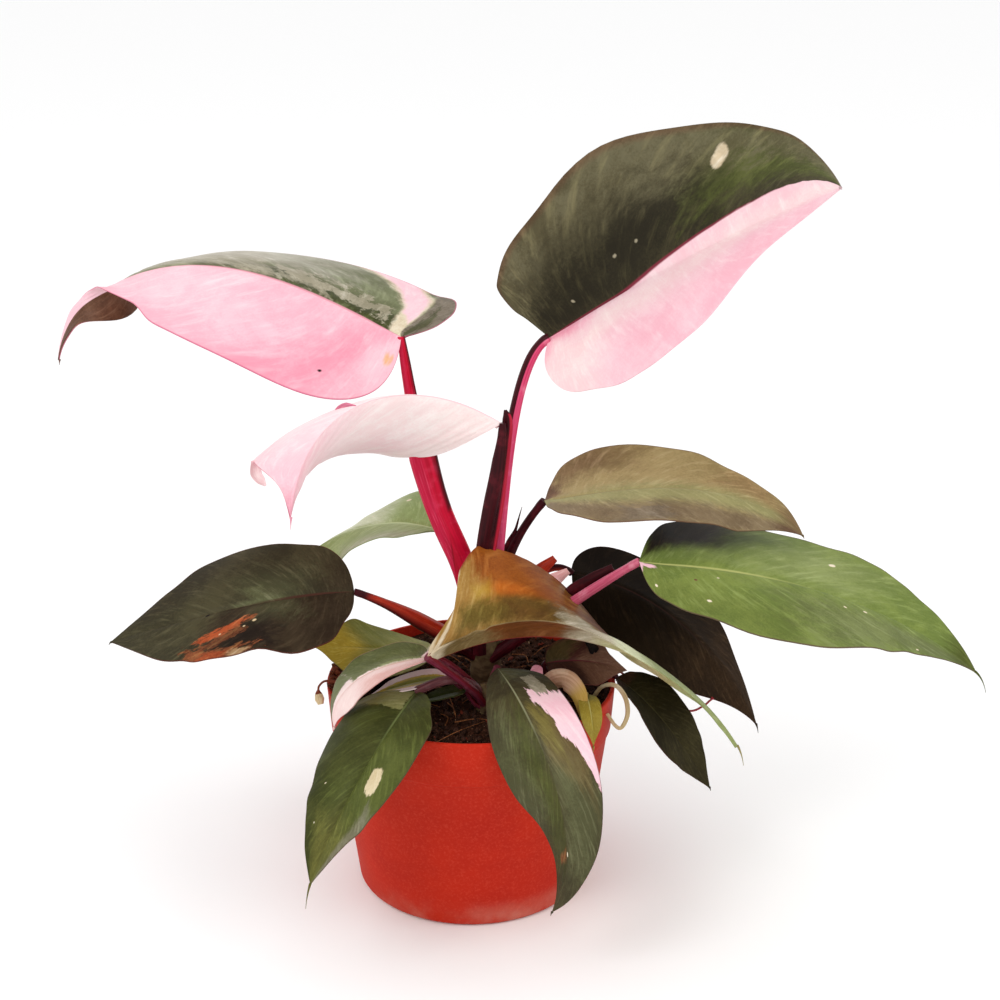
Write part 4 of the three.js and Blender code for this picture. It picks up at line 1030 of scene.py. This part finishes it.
# ---------- bud, scales and dried bits ----------
def spline(points, steps):
    """A smooth line through the points, evenly stepped between them."""
    points = np.array(points, float)
    padded = np.vstack([2 * points[0] - points[1], points, 2 * points[-1] - points[-2]])
    at = np.linspace(0, len(points) - 1 - 1e-6, steps)
    k = at.astype(int)
    t = (at - k)[:, None]
    a, b, c, d = padded[k], padded[k + 1], padded[k + 2], padded[k + 3]
    return 0.5 * (2 * b + (c - a) * t + (2 * a - 5 * b + 4 * c - d) * t**2 + (3 * b - a - 3 * c + d) * t**3)


# Each one's slot, skin, flatness, radii, and the points of its line.
LOOSE = dict(
    bud=("bud", "bud_skin", 1, (2.6, 3.1, 3.4, 3.4, 2.2), (23, -21, 82), (25, -24, 96), (27, -27, 107)),
    cataphyll=("cataphyll", "papery_tan", 0.35, (2.4, 3.4, 4.6, 4.6, 3.2, 1), (27, -15, 83), (31, -18, 95),
        (37.5, -23, 100.5), (43.5, -29, 97), (45.5, -34.5, 88)),
    dried_loop=("dried", "dried_straw", 0.35, (0.9, 1, 1, 0.9, 0.7), (50, -9, 84), (54, -10, 90.5),
        (59.5, -12, 92), (63.4, -15, 88), (64.2, -19, 82.5), (61.8, -22.5, 78.4), (59.2, -24, 79.6),
        (55.6, -22.5, 84.5)),
    dried_twig=("dried", "dried_twig_skin", 0.6, (0.9, 0.8, 0.6, 0.5, 0.45, 0.45, 1.6, 2, 1.2), (-50, -8, 84),
        (-54, -9, 91.2), (-59.5, -10.5, 93.4), (-62.2, -12, 92), (-62.6, -13, 90), (-62.2, -14, 87.5),
        (-61.6, -15, 85)),
)
for name, (slot, skin, flat, radii, *points) in LOOSE.items():
    form = Form()
    tube(form, spline(points, 60), spread(radii, 60), 24, flat)
    form.piece(f"{name}_skin", [skins[skin]], slot, name)

# Sheath tips, scales and scraps: slot, skin, the side each opens to, how hollow, widths, points.
SCALES = dict(
    young_hood=("petiole_maroon", "young_hood_skin", (-0.3, -1, 0.1), -0.5, (1, 4.6, 5.6, 4.8, 4, 1.2),
        (5.4, -5.2, 132), (7.2, -5.6, 146), (10.6, -6.5, 170), (14, -8, 198), (14.6, -8.6, 206),
        (14, -9, 210)),
    bronze_spur=("petiole_maroon", "petiole_maroon", (0, -1, 0), -0.4, (2, 3.6, 3.4, 1.2, 0.6, 0.2),
        (11.2, 8.4, 133), (13.8, 8.8, 141), (16.6, 9.1, 147.4), (18.4, 9.2, 152.5), (19.8, 9.3, 158),
        (21, 9.5, 162.4)),
    green_sheath=("petiole_maroon", "petiole_maroon", (0.1, -1, 0.3), -0.5, (4, 6.5, 6, 4.2), (36, -5.5, 126),
        (42, -6.8, 131.5), (50, -9.5, 138), (57.6, -12.4, 144)),
    pale_sheath=("bud", "sheath_blanched", (0, -1, 0.3), -0.4, (5, 6, 2.6), (29, 1, 129), (34, 0.5, 133.5),
        (39.8, 0, 138)),
    low_sheath=("petiole_maroon", "sheath_ember", (0, -1, 0.5), -0.5, (5, 6, 3), (22, 5, 128), (28, 6.5, 135),
        (34.6, 7.6, 140.5)),
    pale_flap=("leaf_pale", "pale_flap_skin", (0.2, -1, 0), 0.6, (2.6, 4.4, 3.4, 0.6), (-79.2, -53.2, 205),
        (-78.6, -54.6, 200.8), (-76.6, -55.6, 198), (-75, -56, 196)),
    rose_fold=("leaf_pale", "rose_fold_skin", (0, -1, 0.2), -0.4, (0.6, 2.4, 2.4, 0.5), (-51.9, -30.6, 215.2),
        (-49, -32.2, 218.2), (-46.1, -33.8, 220), (-42.4, -34.2, 220.1)),
    dead_scrap=("dried", "dead_scrap_skin", (0.3, -1, 0.2), 0.7, (1.2, 4.6, 1.6, 3.8, 1.2, 1),
        (50.8, -3.6, 102.8), (50.2, -4.6, 105.2), (48.6, -4.4, 107), (48.6, -5.8, 108.6), (46.6, -5.2, 110.4),
        (45.4, -5.8, 113)),
)
for name, (slot, skin, facing, hollow, widths, *points) in SCALES.items():
    form = Form()
    shell(form, spline(points, 30), spread(widths, 30), facing, hollow)
    form.piece(name, [skins[skin]], slot)


# ---------- crumbs and fibres on the peat ----------
def scatter_crumbs(name, look, tones, count, sizes, stretch, seed, heap=()):
    """Small uneven lumps that lie on the peat, or in small heaps, each (x, y, height), against the rim."""
    draw = np.random.default_rng(seed)
    edit = bmesh.new()
    bmesh.ops.create_icosphere(edit, subdivisions=1, radius=1)
    lump = np.array([v.co for v in edit.verts])
    faces = np.array([[v.index for v in face.verts] for face in edit.faces])
    edit.free()
    radius = (SOIL_EDGE - 1.5) * np.sqrt(draw.random(count))
    angle = TURN * draw.random(count)
    x, y = radius * np.cos(angle), radius * np.sin(angle)
    z = soil_height(x, y) + rough(x, y)
    if heap:
        middle = np.array(heap)[draw.integers(0, len(heap), count)]
        away = draw.normal(size=(2, count)) * ((1.6,), (3.2,))
        x, y = middle[:, 0] + away[0], middle[:, 1] + away[1]
        inside = np.minimum(1, 59 / np.hypot(x, y))
        x, y = x * inside, y * inside
        z = SOIL_TOP + draw.random(count) * middle[:, 2] * np.exp(-((away / ((3,), (6,))) ** 2).sum(0))
        z = np.where(np.hypot(x, y) > 57, np.maximum(z, POT_HEIGHT), z)
    size = sizes[0] + (sizes[1] - sizes[0]) * draw.random(count) ** 3
    points, triangles = [], []
    for i in range(count):
        turn = np.linalg.qr(draw.normal(size=(3, 3)))[0]
        shape = lump * (1 + 0.35 * draw.normal(size=(len(lump), 1))) * stretch * size[i]
        points.append(shape @ turn + (x[i], y[i], z[i] + 0.2 * size[i]))
        triangles.append(faces + i * len(lump))
    mesh = bpy.data.meshes.new(name)
    mesh.from_pydata(np.vstack(points) * MM, [], np.vstack(triangles).tolist())
    mesh.uv_layers.new(name="surface")
    mesh.materials.append(earth_look(look, *tones))
    mesh.shade_smooth()
    settle(mesh, "soil")


CRUMBS = (
    ("peat_crumbs", "peat_crumb", (0x3A2118, 0x20120C, 0x6A442E), 1500, (0.4, 1.7), (1, 1, 1), 3),
    ("bark_chips", "bark_chip", (0x7A3020, 0x501C12, 0xA85A3A), 130, (0.8, 2.4), (1, 0.5, 0.25), 5),
    ("rim_crumbs", "rim_crumb", (0x7E3A24, 0x4A2014, 0xB4683E), 150, (0.7, 2.2), (1, 0.7, 0.5), 9,
     ((-55.5, -1, 4.2), (-55.5, -8, 4.5), (-54.5, 6, 3))),
    ("grit", "peat_grit", (0xB09070, 0x8A6A4C, 0xD8C4A4), 120, (0.2, 0.6), (1, 0.8, 0.6), 8),
)
for spec in CRUMBS:
    scatter_crumbs(*spec)


FIBRES = 48


def make_fibres():
    """Thin dry fibres that lie over the peat in low arches, and two long ones near the front rim."""
    draw = np.random.default_rng(12)
    form = Form()
    lines = [[(-14, -57.6, 89.4), (-4, -47, 89.5), (6, -37, 88.5)]]
    lines += [[(-6, -38, 88.6), (2, -36, 89), (9, -36, 88.4)]]
    for _ in range(FIBRES):
        x, y = draw.uniform(-42, 42, 2)
        turn, length = TURN * draw.random(), draw.uniform(5, 18)
        step = 0.5 * length * np.array([math.cos(turn), math.sin(turn)])
        bow = draw.uniform(-2, 2, 2)
        flat = [np.array([x, y]) - step, np.array([x, y]) + bow, np.array([x, y]) + step]
        lift = (0.1, draw.uniform(0.5, 1.6), 0.2)
        lines.append([(*p, soil_height(*p) + 0.4 + up) for p, up in zip(flat, lift)])
    for points in lines:
        tube(form, spline(points, 14), np.linspace(0.26, 0.14, 14) * draw.uniform(0.6, 1.2), 6)
    form.piece("peat_fibres", [earth_look("fibre", 0x925832, 0x683A20, 0xBC8656)], "soil", weld=0.0005)


def make_root():
    """The thin red aerial root that crosses the rim and ends on the low dark leaf."""
    points = [(46, 2, 86), (54, 3, 91), (61, 3.4, 91.6), (72, 4, 82), (82, 4, 75), (92, 3.4, 72.6)]
    points += [(97.6, 4.6, 74.2), (100.2, 5.6, 76), (101.9, 6.4, 77.2)]
    form = Form()
    tube(form, spline(points, 70), np.interp(np.linspace(0, 1, 70), (0, 0.95, 1), (0.5, 0.45, 0.9)), 10)
    form.piece("aerial_root", [skins["root_skin"]], "petiole_maroon")


make_fibres()
make_root()

# ---------- floor, light and camera ----------
scene.view_settings.view_transform = "Standard"

floor_mesh = bpy.data.meshes.new("floor")
edit = bmesh.new()
bmesh.ops.create_circle(edit, cap_ends=True, segments=96, radius=12)
edit.to_mesh(floor_mesh)
edit.free()
floor_mesh.materials.append(Look("floor_paper", 0.9).done(0xFAFAFA))
floor = add("floor", floor_mesh)

world = bpy.data.worlds.new("studio")
world.use_nodes = True
world.node_tree.nodes["Background"].inputs["Color"].default_value = (1, 1, 1, 1)
world.node_tree.nodes["Background"].inputs["Strength"].default_value = 1.0
scene.world = world


def add_light(name, place, target, size, power):
    light = bpy.data.lights.new(name, "AREA")
    light.shape = "DISK"
    light.size = size
    light.energy = power
    lamp = add(name, light)
    lamp.location = place
    lamp.rotation_euler = (Vector(target) - Vector(place)).to_track_quat("-Z", "Y").to_euler()


add_light("key", (-0.9, -0.9, 1.5), (0, 0, 0.15), 0.9, 8)
add_light("fill", (1.1, -0.4, 1.0), (0, 0, 0.15), 0.9, 4)

camera_data = bpy.data.cameras.new("camera")
camera_data.sensor_width = 36
camera_data.lens = 71.75
camera = add("camera", camera_data)
camera.location = (0.012, -0.750, 0.455)
camera.rotation_euler = (math.radians(69.13), 0, 0)
scene.camera = camera
